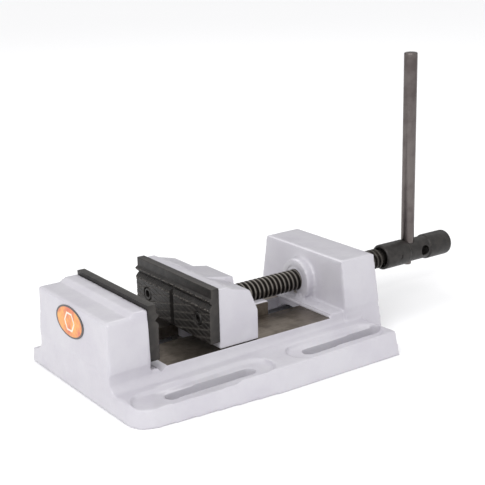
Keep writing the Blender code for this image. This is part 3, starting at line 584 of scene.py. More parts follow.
@dataclass
class BodyCasting(Casting):
    """The vise's body: flange, bed, fixed jaw block and nut block.

    Attributes:
        way_height: Height of the milled bed.
        way_half: Half its width.
        way_start: Where the mill starts, measured from the end face.
        foot: Where the unmilled foot of the nut block starts.
        run_out: Cast fillet that the mill leaves in front of that foot.
        slot_half: Half width of the guide slot.
        slot_start: Where the guide slot starts.
        slot_milled: Where its milled part ends.
        boss_front: Front of the boss round the nut.
        boss_radius: Radius of that boss.
        boss_length: Its length, into the block.
        nut_lip: How far the nut's flange stands out round its body.
        clear: How far the cutters pass the iron above the bed.
        scoops: Start and end of each cast recess round a bolt slot.
        scoop_y: Middle line of the recesses.
        scoop_half: Half their width.
        scoop_depth: Extra hollow at their middle, from the sand.
        scoop_wall: Steepness of the hollow's wall.
        relief: Start, lowest line and end of the relief groove at the fixed jaw.
        relief_depth: Its depth below the bed.
        scar: How rough the fettled foot of the nut block is.
        skin: What the two blocks gain so that their rounded corners stay full.
    """

    way_height: float = 22.5 * MM
    way_half: float = 50.5 * MM
    way_start: float = 37.5 * MM
    foot: float = 189.5 * MM
    run_out: float = 0.8 * MM
    slot_half: float = 13.5 * MM
    slot_start: float = 53.0 * MM
    slot_milled: float = 158.0 * MM
    boss_front: float = 195.1 * MM
    boss_radius: float = 16.2 * MM
    boss_length: float = 12.0 * MM
    nut_lip: float = 2.5 * MM
    clear: float = 2.6 * MM
    scoops: tuple = ((4.5 * MM, 113.0 * MM), (131.0 * MM, 213.0 * MM))
    scoop_y: float = -76.0 * MM
    scoop_half: float = 13.0 * MM
    scoop_depth: float = 0.35 * MM
    scoop_wall: float = 2.2
    relief: tuple = (38.0 * MM, 40.3 * MM, 45.8 * MM)
    relief_depth: float = 2.8 * MM
    scar: float = 0.8 * MM
    skin: float = 0.5 * MM

    def stock(self) -> list[tuple[Vector, Vector]]:
        """Fill the guide slot and raise the bed, as cast.

        Returns:
            Lowest and highest corner of each box.
        """
        start = at(self.way_start + 1.0 * MM, 1.0 * MM - self.way_half, 13.6 * MM)
        end = at(self.foot - self.run_out - 1.0 * MM, self.way_half - 1.0 * MM,
                 self.way_height + 1.2 * MM)
        return [(start, end)]

    def cuts(self) -> list[Mesh]:
        """Mill the bed and the guide slot.

        Returns:
            The cutters' meshes.
        """
        margin = 3.0 * MM
        bed = box_mesh("bed", at(self.way_start - 0.3 * MM, -self.way_half - margin, self.way_height),
                       at(self.foot - self.run_out, self.way_half + margin,
                          self.way_height + self.clear))
        slot = box_mesh("guide_slot", at(self.slot_start, -self.slot_half, 0.0),
                        at(self.slot_milled, self.slot_half, self.way_height + margin))
        return [bed, slot]

    def boss(self) -> Mesh:
        """Return the turned boss round the nut.

        Returns:
            The boss, a little way into the block.
        """
        round_off = 0.9 * MM
        front, full = self.boss_front, self.boss_radius
        profile = rounded([(0.0, 2 * MM), (0.0, full - round_off), (round_off, full),
                           (self.boss_length, full)], 0.6 * MM, 3)
        return turned_mesh("boss", profile, at(front, 0.0, SCREW_AXIS.z), ALONG_SCREW, 96)

    def openings(self) -> list[Mesh]:
        """Cut the relief at the jaw, the unmilled end of the guide slot and the nut's bore.

        Returns:
            The cutters' meshes.
        """
        first, middle, last = self.relief
        out, top, floor = self.way_half + 9.0 * MM, self.way_height + self.clear, self.way_height
        section = ((first, top), (first, floor), (middle, floor - self.relief_depth), (last, floor),
                   (last, top))
        corners = [at(x, y, z) for y in (-out, out) for x, z in section]
        sides = [(k, (k + 1) % 5, 5 + (k + 1) % 5, 5 + k) for k in range(5)]
        relief = mesh_from("relief", corners, [*sides, tuple(range(5)), tuple(range(5, 10))])
        low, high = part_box("screw_nut")
        bore = (high.z - low.z) / 2 - self.nut_lip + 0.15 * MM
        reach = high.x - low.x - 4.0 * MM
        start = at(self.boss_front - 1.0 * MM, 0.0, SCREW_AXIS.z)
        bed = box_mesh("rough_bed", at(self.way_start - 0.25 * MM, -out, self.way_height + 0.15 * MM),
                       at(self.foot - self.run_out + 0.02 * MM, out, top))
        return [relief, bed,
                box_mesh("slot_end", at(self.slot_milled - 0.1 * MM, -self.slot_half, 0.0),
                         at(self.foot - self.run_out, self.slot_half, self.way_height + 3.0 * MM)),
                turned_mesh("nut_bore", [(0.0, bore), (reach, bore)], start, ALONG_SCREW, 64)]

    def lift(self, points: np.ndarray) -> np.ndarray:
        """Add the scoops' hollows, the rough foot and the blocks' full corners.

        Args:
            points: Places on the surface, one row each.

        Returns:
            Heights along the normal.
        """
        lift = super().lift(points)
        x, y, z = (points - np.array(at(0.0, 0.0, 0.0))).T
        for start, end in self.scoops:
            straight = np.clip(x, start + self.scoop_half, end - self.scoop_half)
            away = np.hypot(x - straight, y - self.scoop_y) / self.scoop_half
            dish = np.clip(self.scoop_wall * (1.0 - away), 0.0, 1.0)
            lift -= self.scoop_depth * dish * dish * (3.0 - 2.0 * dish) * (z > 6.0 * MM)
        near_foot = np.exp(-((x - self.foot - 7.0 * MM) / (9.0 * MM)) ** 2
                           - ((y - 2.0 * MM) / (34.0 * MM)) ** 2 - ((z - 25.0 * MM) / (9.0 * MM)) ** 2)
        k = 2 * math.pi / (6.5 * MM)
        lumps = np.sin(k * x + 1.3 * np.sin(0.7 * k * y)) * np.sin(0.8 * k * y + 0.9 * np.cos(k * z))
        above = np.clip((z - 24.5 * MM) / (3.0 * MM), 0.0, 1.0)
        blocks = np.maximum(x < self.way_start, x > self.foot + 3.0 * MM)
        return lift + self.scar * near_foot * lumps + self.skin * above * blocks


@dataclass
class MovableJaw(Casting):
    """The movable jaw: painted, with a tail milled on its back and sides.

    Attributes:
        tail_start: Where the tail leaves the jaw, measured from the end face.
        tail_half: Half width of the tail.
        tail_end: Back of the tail.
    """

    tail_start: float = 123.6 * MM
    tail_half: float = 13.2 * MM
    tail_end: float = 158.7 * MM

    def stock(self) -> list[tuple[Vector, Vector]]:
        """Leave iron on the back of the tail and on its sides.

        Returns:
            Lowest and highest corner of the box.
        """
        grow = 0.9 * MM
        return [(at(self.tail_start + 2.0 * MM, -self.tail_half - grow, 14.0 * MM),
                 at(self.tail_end + grow, self.tail_half + grow, 31.4 * MM))]

    def cuts(self) -> list[Mesh]:
        """Mill the back and the sides of the tail.

        Returns:
            The cutters' meshes.
        """
        far_out, wide = 6.0 * MM, 20.0 * MM
        start = self.tail_start + 0.6 * MM
        low, top = 10.0 * MM, 36.0 * MM
        end = self.tail_end + far_out
        back = box_mesh("back", at(self.tail_end, -wide, low), at(end, wide, top))
        sides = [box_mesh("side", at(start, side * self.tail_half, low),
                          at(end, side * (self.tail_half + far_out), top)) for side in (-1, 1)]
        return [back, *sides]


# -------------------------------------------------------------- jaw plates
class Facing(Enum):
    """Direction in which a jaw plate looks along the screw."""

    REAR = 1
    FRONT = -1

    def face_of(self, node: str) -> Vector:
        """Return the middle of a CAD node's face on the side looked to.

        Args:
            node: The CAD node.

        Returns:
            The middle of that face.
        """
        low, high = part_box(node)
        point = middle_of(node)
        point.x = high.x if self is Facing.REAR else low.x
        return point


@dataclass
class JawPlate:
    """A hardened plate: plain band, level groove, serrations, screw seats.

    Attributes:
        node: CAD node of the plate.
        body: CAD body that it rides on.
        facing: Which way its working face looks.
        screws: CAD nodes of its two cap screws.
        upright: True for the plate with the upright groove.
        cell: Spacing of the working face's points.
        band: Height of the plain band.
        band_depth: Thickness there.
        face_depth: Thickness of the serrated field.
        lip: How proud the groove's two lips stand.
        groove: Height of the level groove.
        groove_depth: How far it goes below the field.
        serrations: Slope, spacing and brightness of the two crossed sets.
        serration_depth: Their depth.
        serration_half: Half their width.
        upright_half: Half width of the upright groove.
        upright_depth: Its depth.
        worn_mm: What use has taken off the lips.
        chip_mm: How much chips add to that, or take from it.
        groove_chip_mm: The same in the level groove.
        chip_waves: Number of waves that make the chips.
        chip_rate: Highest rate of those waves, in radians per mm.
        chip_sum: Sum of the waves that counts as a full chip.
        edge_break: What the plate's four edges lose.
        edge_wear: How worn they look.
        seat: Diameter of a screw's counterbore.
        seat_depth: Depth of the counterbore.
        bore: Diameter of the hole below it.
    """

    node: str
    body: str
    facing: Facing
    screws: tuple[str, str]
    upright: bool = False
    cell: float = 0.32 * MM
    band: float = 8.0 * MM
    band_depth: float = 6.2 * MM
    face_depth: float = 7.8 * MM
    lip: float = 0.8 * MM
    groove: float = 7.0 * MM
    groove_depth: float = 2.2 * MM
    serrations: tuple = ((-0.28, 3.4 * MM, 0.3), (0.23, 5.6 * MM, 0.75))
    serration_depth: float = 0.42 * MM
    serration_half: float = 0.42 * MM
    upright_half: float = 2.5 * MM
    upright_depth: float = 2.0 * MM
    worn_mm: float = 0.5
    chip_mm: float = 0.45
    groove_chip_mm: float = 0.35
    chip_waves: int = 26
    chip_rate: float = 4.2
    chip_sum: float = 5.2
    edge_break: float = 0.3 * MM
    edge_wear: float = 0.12
    seat: float = 10.2 * MM
    seat_depth: float = 4.9 * MM
    bore: float = 6.6 * MM

    def relief(self, y: np.ndarray, down: np.ndarray) -> tuple[np.ndarray, np.ndarray]:
        """Work out the plate's thickness and its wear.

        Args:
            y: Distance from the plate's middle.
            down: Distance below its top edge.

        Returns:
            Thickness, and wear from zero to one.
        """
        end = self.band + self.groove
        profile_at = [0, self.band - 2 * self.lip, self.band, self.band + self.groove / 2, end,
                      end + 2 * self.lip, 1.0]
        lip = self.face_depth + self.lip
        profile = [self.band_depth, self.band_depth, lip, self.face_depth - self.groove_depth, lip,
                   self.face_depth, self.face_depth]
        thick = np.interp(down, profile_at, profile)
        on_lip = np.clip((thick - self.face_depth) / self.lip, 0.0, 1.0)
        chips = self.chips(y, down)
        thick = thick + on_lip * (self.chip_mm * chips - self.worn_mm) * MM
        in_groove = np.clip((self.face_depth - thick) / self.groove_depth, 0.0, 1.0)
        thick = thick + in_groove * (down > self.band) * chips * self.groove_chip_mm * MM
        wear = on_lip * np.clip(0.35 + 0.9 * chips, 0.0, 1.0)
        in_field = down > end + 3 * self.lip
        half = self.serration_half
        for rise, spacing, shine in self.serrations:
            across = (down - rise * y) / math.hypot(1.0, rise)
            away = np.abs((across / spacing + 0.5) % 1.0 - 0.5) * spacing
            cut = np.clip(1.0 - away / half, 0.0, 1.0) * in_field
            thick = thick - self.serration_depth * cut
            burr = np.clip(1.0 - np.abs(away - half) / half, 0.0, 1.0) * in_field
            wear = np.maximum(wear, shine * burr * np.clip(0.7 + 0.6 * chips, 0.0, 1.0))
        if self.upright:
            groove = np.clip(1.0 - np.abs(y) / self.upright_half, 0.0, 1.0) * (down > self.band)
            deepest = np.minimum(thick, self.face_depth - self.upright_depth * groove)
            thick = np.where(groove > 0.0, deepest, thick)
            wear = wear * (groove == 0.0)
        return thick, wear

    def chips(self, y: np.ndarray, down: np.ndarray) -> np.ndarray:
        """Return the uneven chipping of hardened edges, from -1 to 1.

        Args:
            y: Distance from the plate's middle.
            down: Distance below its top edge.

        Returns:
            How chipped the steel is at each point.
        """
        chance = np.random.default_rng(5)
        total = np.zeros_like(y)
        for _ in range(self.chip_waves):
            across, below = chance.uniform(-self.chip_rate, self.chip_rate, 2) / MM
            total += np.sin(across * y + below * down + chance.uniform(0.0, 2 * math.pi))
        return np.clip(total / self.chip_sum, -1.0, 1.0)

    def mesh(self) -> Mesh:
        """Build the plate as one closed body with a wear attribute.

        Returns:
            The mesh.
        """
        low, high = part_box(self.node)
        side = self.facing.value
        back = low.x if side > 0 else high.x
        width, height = high.y - low.y, high.z - low.z
        columns = round(width / self.cell) + 1
        rows = round(height / self.cell) + 1
        y = np.linspace(-width / 2, width / 2, columns)
        down = np.linspace(0.0, height, rows)
        across, below = np.meshgrid(y, down)
        thick, wear = self.relief(across, below)
        for line in (np.s_[0, :], np.s_[-1, :], np.s_[:, 0], np.s_[:, -1]):
            thick[line] -= self.edge_break
            wear[line] = self.edge_wear
        points = np.stack((back + side * thick, across + (low.y + high.y) / 2, high.z - below), -1)
        vertices = [tuple(p) for p in points.reshape(-1, 3)]
        corners = len(vertices)
        vertices += [(back, low.y, high.z), (back, high.y, high.z), (back, high.y, low.z),
                     (back, low.y, low.z)]
        starts = [r * columns + c for r in range(rows - 1) for c in range(columns - 1)]
        faces = [(k, k + 1, k + columns + 1, k + columns) for k in starts]
        faces += [[*range(columns), corners + 1, corners],
                  [*range(corners - columns, corners), corners + 2, corners + 3],
                  [*range(0, corners, columns), corners + 3, corners],
                  [*range(columns - 1, corners, columns), corners + 2, corners + 1],
                  [*range(corners, corners + 4)]]
        mesh = bpy.data.meshes.new(self.node)
        mesh.from_pydata(vertices, [], faces)
        shade = mesh.attributes.new("edge", "FLOAT", "POINT")
        shade.data.foreach_set("value", np.append(wear.ravel(), (0.0,) * 4))
        with editing(mesh) as bm:
            bmesh.ops.recalc_face_normals(bm, faces=bm.faces)
        return mesh

    def seat_cutter(self, screw: str, steel: Material) -> Object:
        """Make the cutter for one screw's counterbore, from its CAD box.

        Args:
            screw: CAD node of the screw.
            steel: Material of the cut faces.

        Returns:
            The cutter.
        """
        bore, seat = self.bore / 2, self.seat / 2
        profile = [(-20 * MM, bore), (-self.seat_depth, bore), (-self.seat_depth, seat),
                   (-0.5 * MM, seat), (0.4 * MM, seat + 0.9 * MM), (5 * MM, self.seat)]
        return drill(f"{screw}_seat", profile, self.facing.face_of(screw),
                     (self.facing.value, 0, 0), 48, steel)

    def build(self, steel: Material, screw_steel: Material) -> None:
        """Make the plate and its two cap screws.

        Args:
            steel: Material of the plate.
            screw_steel: Material of the screws.
        """
        item = make_object(self.node + "_serrated", self.mesh())
        item.data.materials.append(steel)
        carve(item, [self.seat_cutter(screw, steel) for screw in self.screws])
        sharpen(item, 24.0)
        place(item, self.body, [self.node])
        CapScrews(self.screws, self.body, self.facing).build(screw_steel)


# ------------------------------------------------------- geometry node parts
def node_tree(name: str, sockets: dict[str, str]) -> tuple[NodeTree, Node]:
    """Start a geometry tree with named inputs and one geometry output.

    Args:
        name: Name of the tree.
        sockets: Input names, each with its socket type.

    Returns:
        The tree and its input node.
    """
    tree = bpy.data.node_groups.new(name, "GeometryNodeTree")
    tree.interface.new_socket("Geometry", in_out="OUTPUT", socket_type="NodeSocketGeometry")
    for label, kind in sockets.items():
        tree.interface.new_socket(label, in_out="INPUT", socket_type=kind)
    return tree, add_node(tree, "NodeGroupInput")


def end_tree(tree: NodeTree, geometry: NodeSocket, material: NodeSocket) -> None:
    """End a tree in real geometry with its material.

    Args:
        tree: Geometry tree.
        geometry: Socket with the shape.
        material: Socket with the material.
    """
    real = add_node(tree, "GeometryNodeRealizeInstances", None, {"Geometry": geometry})
    dressed = add_node(tree, "GeometryNodeSetMaterial", None, {
        "Geometry": real.outputs["Geometry"], "Material": material})
    add_node(tree, "NodeGroupOutput", None, {"Geometry": dressed.outputs["Geometry"]})


def grown(name: str, tree: NodeTree, values: dict, points: list | None = None) -> Object:
    """Run a tree once and keep its result as a plain mesh.

    Args:
        name: Name of the piece.
        tree: The geometry tree.
        values: Input names and their values.
        points: Places that the tree reads as its own mesh, where it needs them.

    Returns:
        The piece.
    """
    mesh = bpy.data.meshes.new(name)
    mesh.from_pydata(points or [], [], [])
    item = make_object(name, mesh)
    modifier = item.modifiers.new(name, "NODES")
    modifier.node_group = tree
    for socket in tree.interface.items_tree:
        if socket.in_out == "INPUT" and socket.name in values:
            modifier[socket.identifier] = values[socket.name]
    apply_modifiers(item)
    bpy.data.node_groups.remove(tree)
    return item


@dataclass
class CapScrews:
    """Socket cap screws, set by Geometry Nodes on their places.

    Attributes:
        nodes: CAD nodes that they stand for.
        body: CAD body that they ride on.
        facing: Which way their heads look.
        head: Head diameter.
        head_height: Head height.
        shank: Thread diameter.
        socket: Width across the flats of the hexagon socket.
        chamfer: Chamfer of the head's rim.
        twist: Radians that each screw is turned past the one before.
    """

    nodes: tuple[str, ...]
    body: str
    facing: Facing
    head: float = 9.6 * MM
    head_height: float = 4.6 * MM
    shank: float = 6.0 * MM
    socket: float = 5.0 * MM
    chamfer: float = 0.7 * MM
    twist: float = 0.4

    def pattern(self, steel: Material) -> Object:
        """Make one screw along +Z, its head's top at the origin.

        Args:
            steel: Material of the screw.

        Returns:
            The screw, which is removed after use.
        """
        low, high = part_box(self.nodes[0])
        length = high.x - low.x
        head, shank, rim = self.head / 2, self.shank / 2, self.chamfer
        profile = rounded([(-length, shank - rim), (-length + rim, shank),
                           (-self.head_height, shank), (-self.head_height, head - 0.3 * MM),
                           (-self.head_height + 0.3 * MM, head), (-rim, head), (0.0, head - rim)],
                          0.15 * MM, 2)
        screw = make_object("screw", turned_mesh("screw", profile, (0, 0, 0), UP, 40))
        screw.data.materials.append(steel)
        across = self.socket / math.cos(math.pi / 6) / 2
        mouth = [(-0.62 * self.head_height, across), (-0.35 * MM, across), (0.4 * MM, across + 0.75 * MM)]
        carve(screw, [drill("socket", mouth, (0, 0, 0), UP, 6, steel)])
        return screw

    def build(self, steel: Material) -> Object:
        """Set the screws on their places and return them as one piece.

        Args:
            steel: Material of the screws.

        Returns:
            The piece, on its body.
        """
        points = [self.facing.face_of(node) for node in self.nodes]
        tree, given = node_tree("cap_screws", {
            "Places": "NodeSocketGeometry", "Screw": "NodeSocketObject",
            "Turn": "NodeSocketFloat", "Twist": "NodeSocketFloat", "Material": "NodeSocketMaterial"})
        source = add_node(tree, "GeometryNodeObjectInfo", None, {"Object": given.outputs["Screw"]})
        turn = add_node(tree, "ShaderNodeCombineXYZ", None, {"Y": given.outputs["Turn"]})
        index = add_node(tree, "GeometryNodeInputIndex")
        twist = add_node(tree, "ShaderNodeMath", {"operation": "MULTIPLY"}, {
            0: index.outputs["Index"], 1: given.outputs["Twist"]})
        spin = add_node(tree, "ShaderNodeCombineXYZ", None, {"Z": twist.outputs[0]})
        placed = add_node(tree, "GeometryNodeInstanceOnPoints", None, {
            "Points": given.outputs["Places"], "Instance": source.outputs["Geometry"],
            "Rotation": turn.outputs[0]})
        spun = add_node(tree, "GeometryNodeRotateInstances", None, {
            "Instances": placed.outputs["Instances"], "Rotation": spin.outputs[0]})
        end_tree(tree, spun.outputs["Instances"], given.outputs["Material"])
        pattern = self.pattern(steel)
        item = grown(f"{self.body}_cap_screws", tree, {
            "Screw": pattern, "Turn": self.facing.value * math.pi / 2, "Twist": self.twist,
            "Material": steel}, points)
        bpy.data.objects.remove(pattern, do_unlink=True)
        sharpen(item, 30.0)
        place(item, self.body, list(self.nodes))
        return item


@dataclass
class LeadScrew:
    """Lead screw with its rolled thread, neck and stub.

    Attributes:
        start: Where the thread starts, measured from the end face.
        end: Where it ends.
        pitch: Rise in one turn.
        diameter: Diameter over the crests.
        depth: Depth of the thread.
        neck: Diameter behind the thread.
        rows: Steps along one pitch.
        sides: Steps round one turn.
        flank: Share of the pitch that each flank takes.
        crest_end: Where the crest's far flank ends, as a share of the pitch.
    """

    start: float = 124.0 * MM
    end: float = 281.0 * MM
    pitch: float = 4.0 * MM
    diameter: float = 16.5 * MM
    depth: float = 1.7 * MM
    neck: float = 13.0 * MM
    rows: int = 18
    sides: int = 44
    flank: float = 4 / 18
    crest_end: float = 13 / 18
    # The thread as a formula: X runs along the grid and Y once round it, both from zero to one.
    FORMULAS: ClassVar = (
        ("reach", "MULTIPLY_ADD", "Pitch", 2.0, "Length"),
        ("along", "MULTIPLY", "X", "reach"),
        ("back", "SUBTRACT", "along", "Pitch"),
        ("helix", "MULTIPLY_ADD", "Y", "Pitch", "back"),
        ("started", "MAXIMUM", "helix", 0.0),
        ("kept", "MINIMUM", "started", "Length"),
        ("turns", "DIVIDE", "kept", "Pitch"),
        ("behind", "SUBTRACT", "turns", "Y"),
        ("phase", "FRACT", "behind"),
        ("rising", "DIVIDE", "phase", "Flank"),
        ("left", "SUBTRACT", "Crest End", "phase"),
        ("falling", "DIVIDE", "left", "Flank"),
        ("flank", "MINIMUM", "rising", "falling"),
        ("raised", "MAXIMUM", "flank", 0.0),
        ("tooth", "MINIMUM", "raised", 1.0),
        ("radius", "MULTIPLY_ADD", "tooth", "Depth", "Root"),
        ("angle", "MULTIPLY", "Y", 2 * math.pi),
        ("cosine", "COSINE", "angle"),
        ("sine", "SINE", "angle"),
        ("aside", "MULTIPLY", "radius", "cosine"),
        ("above", "MULTIPLY", "radius", "sine"),
        ("unused", "SUBTRACT", "Length", "kept"))

    def tree(self) -> NodeTree:
        """Build the tree that rolls a grid into a trapezoidal thread.

        Returns:
            The geometry tree.
        """
        number = "NodeSocketFloat"
        tree, given = node_tree("rolled_thread", {
            "Start": "NodeSocketVector", "Length": number, "Pitch": number, "Root": number,
            "Depth": number, "Flank": number, "Crest End": number, "Rows": "NodeSocketInt",
            "Sides": "NodeSocketInt", "Material": "NodeSocketMaterial"})
        grid = add_node(tree, "GeometryNodeMeshGrid", None, {
            "Size X": 1.0, "Size Y": 1.0, "Vertices X": given.outputs["Rows"],
            "Vertices Y": given.outputs["Sides"]})
        place_node = add_node(tree, "GeometryNodeInputPosition")
        shifted = add_node(tree, "ShaderNodeVectorMath", {"operation": "ADD"}, {
            0: place_node.outputs[0], 1: (0.5, 0.5, 0.0)})
        parts = add_node(tree, "ShaderNodeSeparateXYZ", None, {0: shifted.outputs[0]})
        known = {socket.name: socket for socket in (*given.outputs, *parts.outputs)}
        for name, operation, *terms in self.FORMULAS:
            step = add_node(tree, "ShaderNodeMath", {"operation": operation}, {
                k: known.get(term, term) for k, term in enumerate(terms)})
            known[name] = step.outputs[0]
        point = add_node(tree, "ShaderNodeCombineXYZ", None, {
            "X": known["kept"], "Y": known["aside"], "Z": known["above"]})
        final = add_node(tree, "ShaderNodeVectorMath", {"operation": "ADD"}, {
            0: point.outputs[0], 1: given.outputs["Start"]})
        # Crests painted lighter: rubbed wear plus a painted highlight. Within 8 to 24 mm of the thread's
        # end, by the head, the lightening drops to 0.15 as painted shade.
        crest_rub_and_glint = add_node(tree, "ShaderNodeMapRange", None, {
            "Value": known["tooth"], "From Min": 0.7, "From Max": 1.0})
        nut_reach_and_head_shade = add_node(tree, "ShaderNodeMapRange", None, {
            "Value": known["unused"], "From Min": 8.0 * MM, "From Max": 24.0 * MM,
            "To Min": 0.15, "To Max": 1.0})
        worn = add_node(tree, "ShaderNodeMath", {"operation": "MULTIPLY"}, {
            0: crest_rub_and_glint.outputs["Result"], 1: nut_reach_and_head_shade.outputs["Result"]})
        marked = add_node(tree, "GeometryNodeStoreNamedAttribute", {"data_type": "FLOAT"}, {
            "Geometry": grid.outputs["Mesh"], "Name": "edge", "Value": worn.outputs[0]})
        rolled = add_node(tree, "GeometryNodeSetPosition", None, {
            "Geometry": marked.outputs["Geometry"], "Position": final.outputs[0]})
        merged = add_node(tree, "GeometryNodeMergeByDistance", None, {
            "Geometry": rolled.outputs["Geometry"], "Distance": 0.004 * MM})
        end_tree(tree, merged.outputs["Geometry"], given.outputs["Material"])
        return tree

    def thread(self, steel: Material) -> Object:
        """Roll the thread and close its two ends.

        Args:
            steel: Material of the thread.

        Returns:
            The threaded part alone.
        """
        length = self.end - self.start
        turns = length / self.pitch + 2
        item = grown("thread", self.tree(), {
            "Start": at(self.start, 0.0, SCREW_AXIS.z), "Length": length,
            "Pitch": self.pitch, "Root": self.diameter / 2 - self.depth, "Depth": self.depth,
            "Flank": self.flank, "Crest End": self.crest_end,
            "Rows": round(turns * self.rows) + 1, "Sides": self.sides + 1, "Material": steel})
        with editing(item.data) as bm:
            bmesh.ops.dissolve_degenerate(bm, edges=bm.edges, dist=2 * DOUBLES)
            bmesh.ops.holes_fill(bm, edges=bm.edges)
            bmesh.ops.recalc_face_normals(bm, faces=bm.faces)
        return item

    def build(self, steel: Material) -> Object:
        """Make the whole screw, from its tip in the jaw to its stub in the head.

        Args:
            steel: Material of the screw.

        Returns:
            The piece, on its body.
        """
        item = self.thread(steel)
        low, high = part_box("lead_screw")
        full, neck = self.diameter / 2, self.neck / 2
        root = full - self.depth
        groove, half, ring = full - 2.6 * MM, 2.8 * MM, 8.0 * MM
        inset = low.x - CAD_BOX[0].x
        seat, behind, end = self.start - inset, self.end - inset, high.x - low.x
        front = rounded([(0.0, full - 1.2 * MM), (1.2 * MM, full), (ring - half, full),
                         (ring - half, groove), (ring + half, groove), (ring + half, full),
                         (seat + 0.2 * MM, full), (seat + 0.4 * MM, root)], 0.2 * MM, 2)
        rear = rounded([(behind - 0.3 * MM, root), (behind + 0.8 * MM, neck), (end - 0.6 * MM, neck),
                        (end, neck - 0.6 * MM)], 0.2 * MM, 2)
        origin = (low.x, SCREW_AXIS.y, SCREW_AXIS.z)
        with editing(item.data) as bm:
            for profile in (front, rear):
                bm.from_mesh(turned_mesh("part", profile, origin, ALONG_SCREW, 48))
        item.data.materials.clear()
        item.data.materials.append(steel)
        item.data.polygons.foreach_set("material_index", [0] * len(item.data.polygons))
        item.name = "rolled_lead_screw"
        sharpen(item, 24.0)
        place(item, "screw", ["lead_screw"])
        return item


# ----------------------------------------------------------- head and handle
@dataclass
class HandleHead:
    """Turned head on the screw's end, cross-bored for the bar.

    Attributes:
        diameter: Full diameter.
        waist: Diameter of the turned-down middle.
        waist_from: Where the waist starts, from the head's front.
        waist_to: Where it ends.
        recess: Diameter of the hollow in the front.
        recess_depth: Its depth.
        neck: Diameter of the screw's stub.
        stub: How far the stub reaches in.
        spare_hole: Diameter of the spare cross hole.
        spare_at: Its place.
        nose: Radius of the round back end.
        nose_steps: Number of flats round it.
        sunk_from: Height where the bar's hole starts to widen at its mouth.
        sunk_to: Height where that countersink ends, over the head.
    """

    diameter: float = 21.0 * MM
    waist: float = 19.0 * MM
    waist_from: float = 25.4 * MM
    waist_to: float = 49.4 * MM
    recess: float = 16.4 * MM
    recess_depth: float = 4.0 * MM
    neck: float = 13.6 * MM
    stub: float = 21.7 * MM
    spare_hole: float = 8.6 * MM
    spare_at: float = 42.9 * MM
    nose: float = 3.0 * MM
    nose_steps: int = 8
    sunk_from: float = 48.0 * MM
    sunk_to: float = 51.0 * MM

    def build(self, steel: Material) -> Object:
        """Turn the head, then bore it.

        Args:
            steel: Material of the head.

        Returns:
            The piece, on its body.
        """
        low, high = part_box("handle_head")
        length = high.x - low.x
        full, waist, step = self.diameter / 2, self.waist / 2, 1.0 * MM
        profile = [(0.0, self.recess / 2 + 0.5 * MM), (0.0, full - step), (step, full),
                   (self.waist_from, full), (self.waist_from + step, waist),
                   (self.waist_to - step, waist), (self.waist_to, full), (length - self.nose, full)]
        profile = rounded(profile, 0.35 * MM, 3)
        for k in range(1, self.nose_steps + 1):
            angle = math.radians(90 * k / self.nose_steps)
            profile.append((length - self.nose + self.nose * math.sin(angle),
                            full - self.nose + self.nose * math.cos(angle)))
        origin = Vector((low.x, SCREW_AXIS.y, SCREW_AXIS.z))
        item = make_object("turned_head", turned_mesh("head", profile, origin, ALONG_SCREW, 96))
        item.data.materials.append(steel)
        bore = [(-1.0 * MM, self.recess / 2 + 1.0 * MM), (0.6 * MM, self.recess / 2),
                (self.recess_depth, self.recess / 2), (self.recess_depth, self.neck / 2),
                (self.stub, self.neck / 2)]
        spare = self.spare_hole / 2
        reach = full + 1.0 * MM
        through = [(-reach, spare + 1.7 * MM), (-full + 0.9 * MM, spare), (full - 0.9 * MM, spare),
                   (reach, spare + 1.7 * MM)]
        pin_low, pin_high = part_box("head_pin")
        pin = (pin_high.x - pin_low.x) / 2 + 0.15 * MM
        pin_at = Vector(((pin_low.x + pin_high.x) / 2, SCREW_AXIS.y, SCREW_AXIS.z))
        carve(item, [drill("bore", bore, origin, ALONG_SCREW, 64, steel),
                     drill("spare", through, origin + Vector((self.spare_at, 0, 0)), ACROSS, 48, steel),
                     self.bar_bore(steel),
                     drill("pin", [(-20 * MM, pin), (20 * MM, pin)], pin_at, ACROSS, 32, steel)])
        sharpen(item, 28.0)
        place(item, "screw", ["handle_head"])
        return item

    def bar_bore(self, steel: Material) -> Object:
        """Make the cutter for the stepped hole in which the bar stands.

        Args:
            steel: Material of the cut faces.

        Returns:
            The cutter.
        """
        low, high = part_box("tommy_bar")
        play = 0.3 * MM
        wide = (high.x - low.x) / 2 + play
        narrow = TommyBar.tip / 2 + play
        shoulder = low.z + TommyBar.tip_length - play
        profile = [(low.z - 5 * MM, narrow), (shoulder, narrow), (shoulder, wide),
                   (self.sunk_from, wide), (self.sunk_to, wide + 1.2 * MM)]
        middle = middle_of("tommy_bar")
        return drill("bar_bore", profile, (middle.x, middle.y, 0), UP, 64, steel)


@dataclass
class TommyBar:
    """Loose bar that stands in the head.

    Attributes:
        tip: Diameter of its reduced tip.
        tip_length: Length of the tip.
        rim: Radius of the rounded top end.
    """

    tip: float = 7.0 * MM
    tip_length: float = 6.0 * MM
    rim: float = 1.1 * MM

    def build(self, steel: Material) -> Object:
        """Turn the bar.

        Args:
            steel: Material of the bar.

        Returns:
            The piece, on its body.
        """
        low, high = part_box("tommy_bar")
        middle = middle_of("tommy_bar")
        radius = (high.x - low.x) / 2
        length = high.z - low.z
        profile = rounded([(0.0, self.tip / 2 - 0.5 * MM), (0.5 * MM, self.tip / 2),
                           (self.tip_length, self.tip / 2), (self.tip_length, radius - 0.5 * MM),
                           (self.tip_length + 0.5 * MM, radius), (length - self.rim, radius),
                           (length - 0.3 * MM, radius - 0.4 * MM), (length, radius - self.rim),
                           (length, radius - 2.5 * self.rim)], 0.4 * MM, 4)
        origin = (middle.x, middle.y, low.z)
        item = make_object("handle_bar", turned_mesh("bar", profile, origin, UP, 72))
        item.data.materials.append(steel)
        sharpen(item, 28.0)
        place(item, "bar", ["tommy_bar"])
        return item


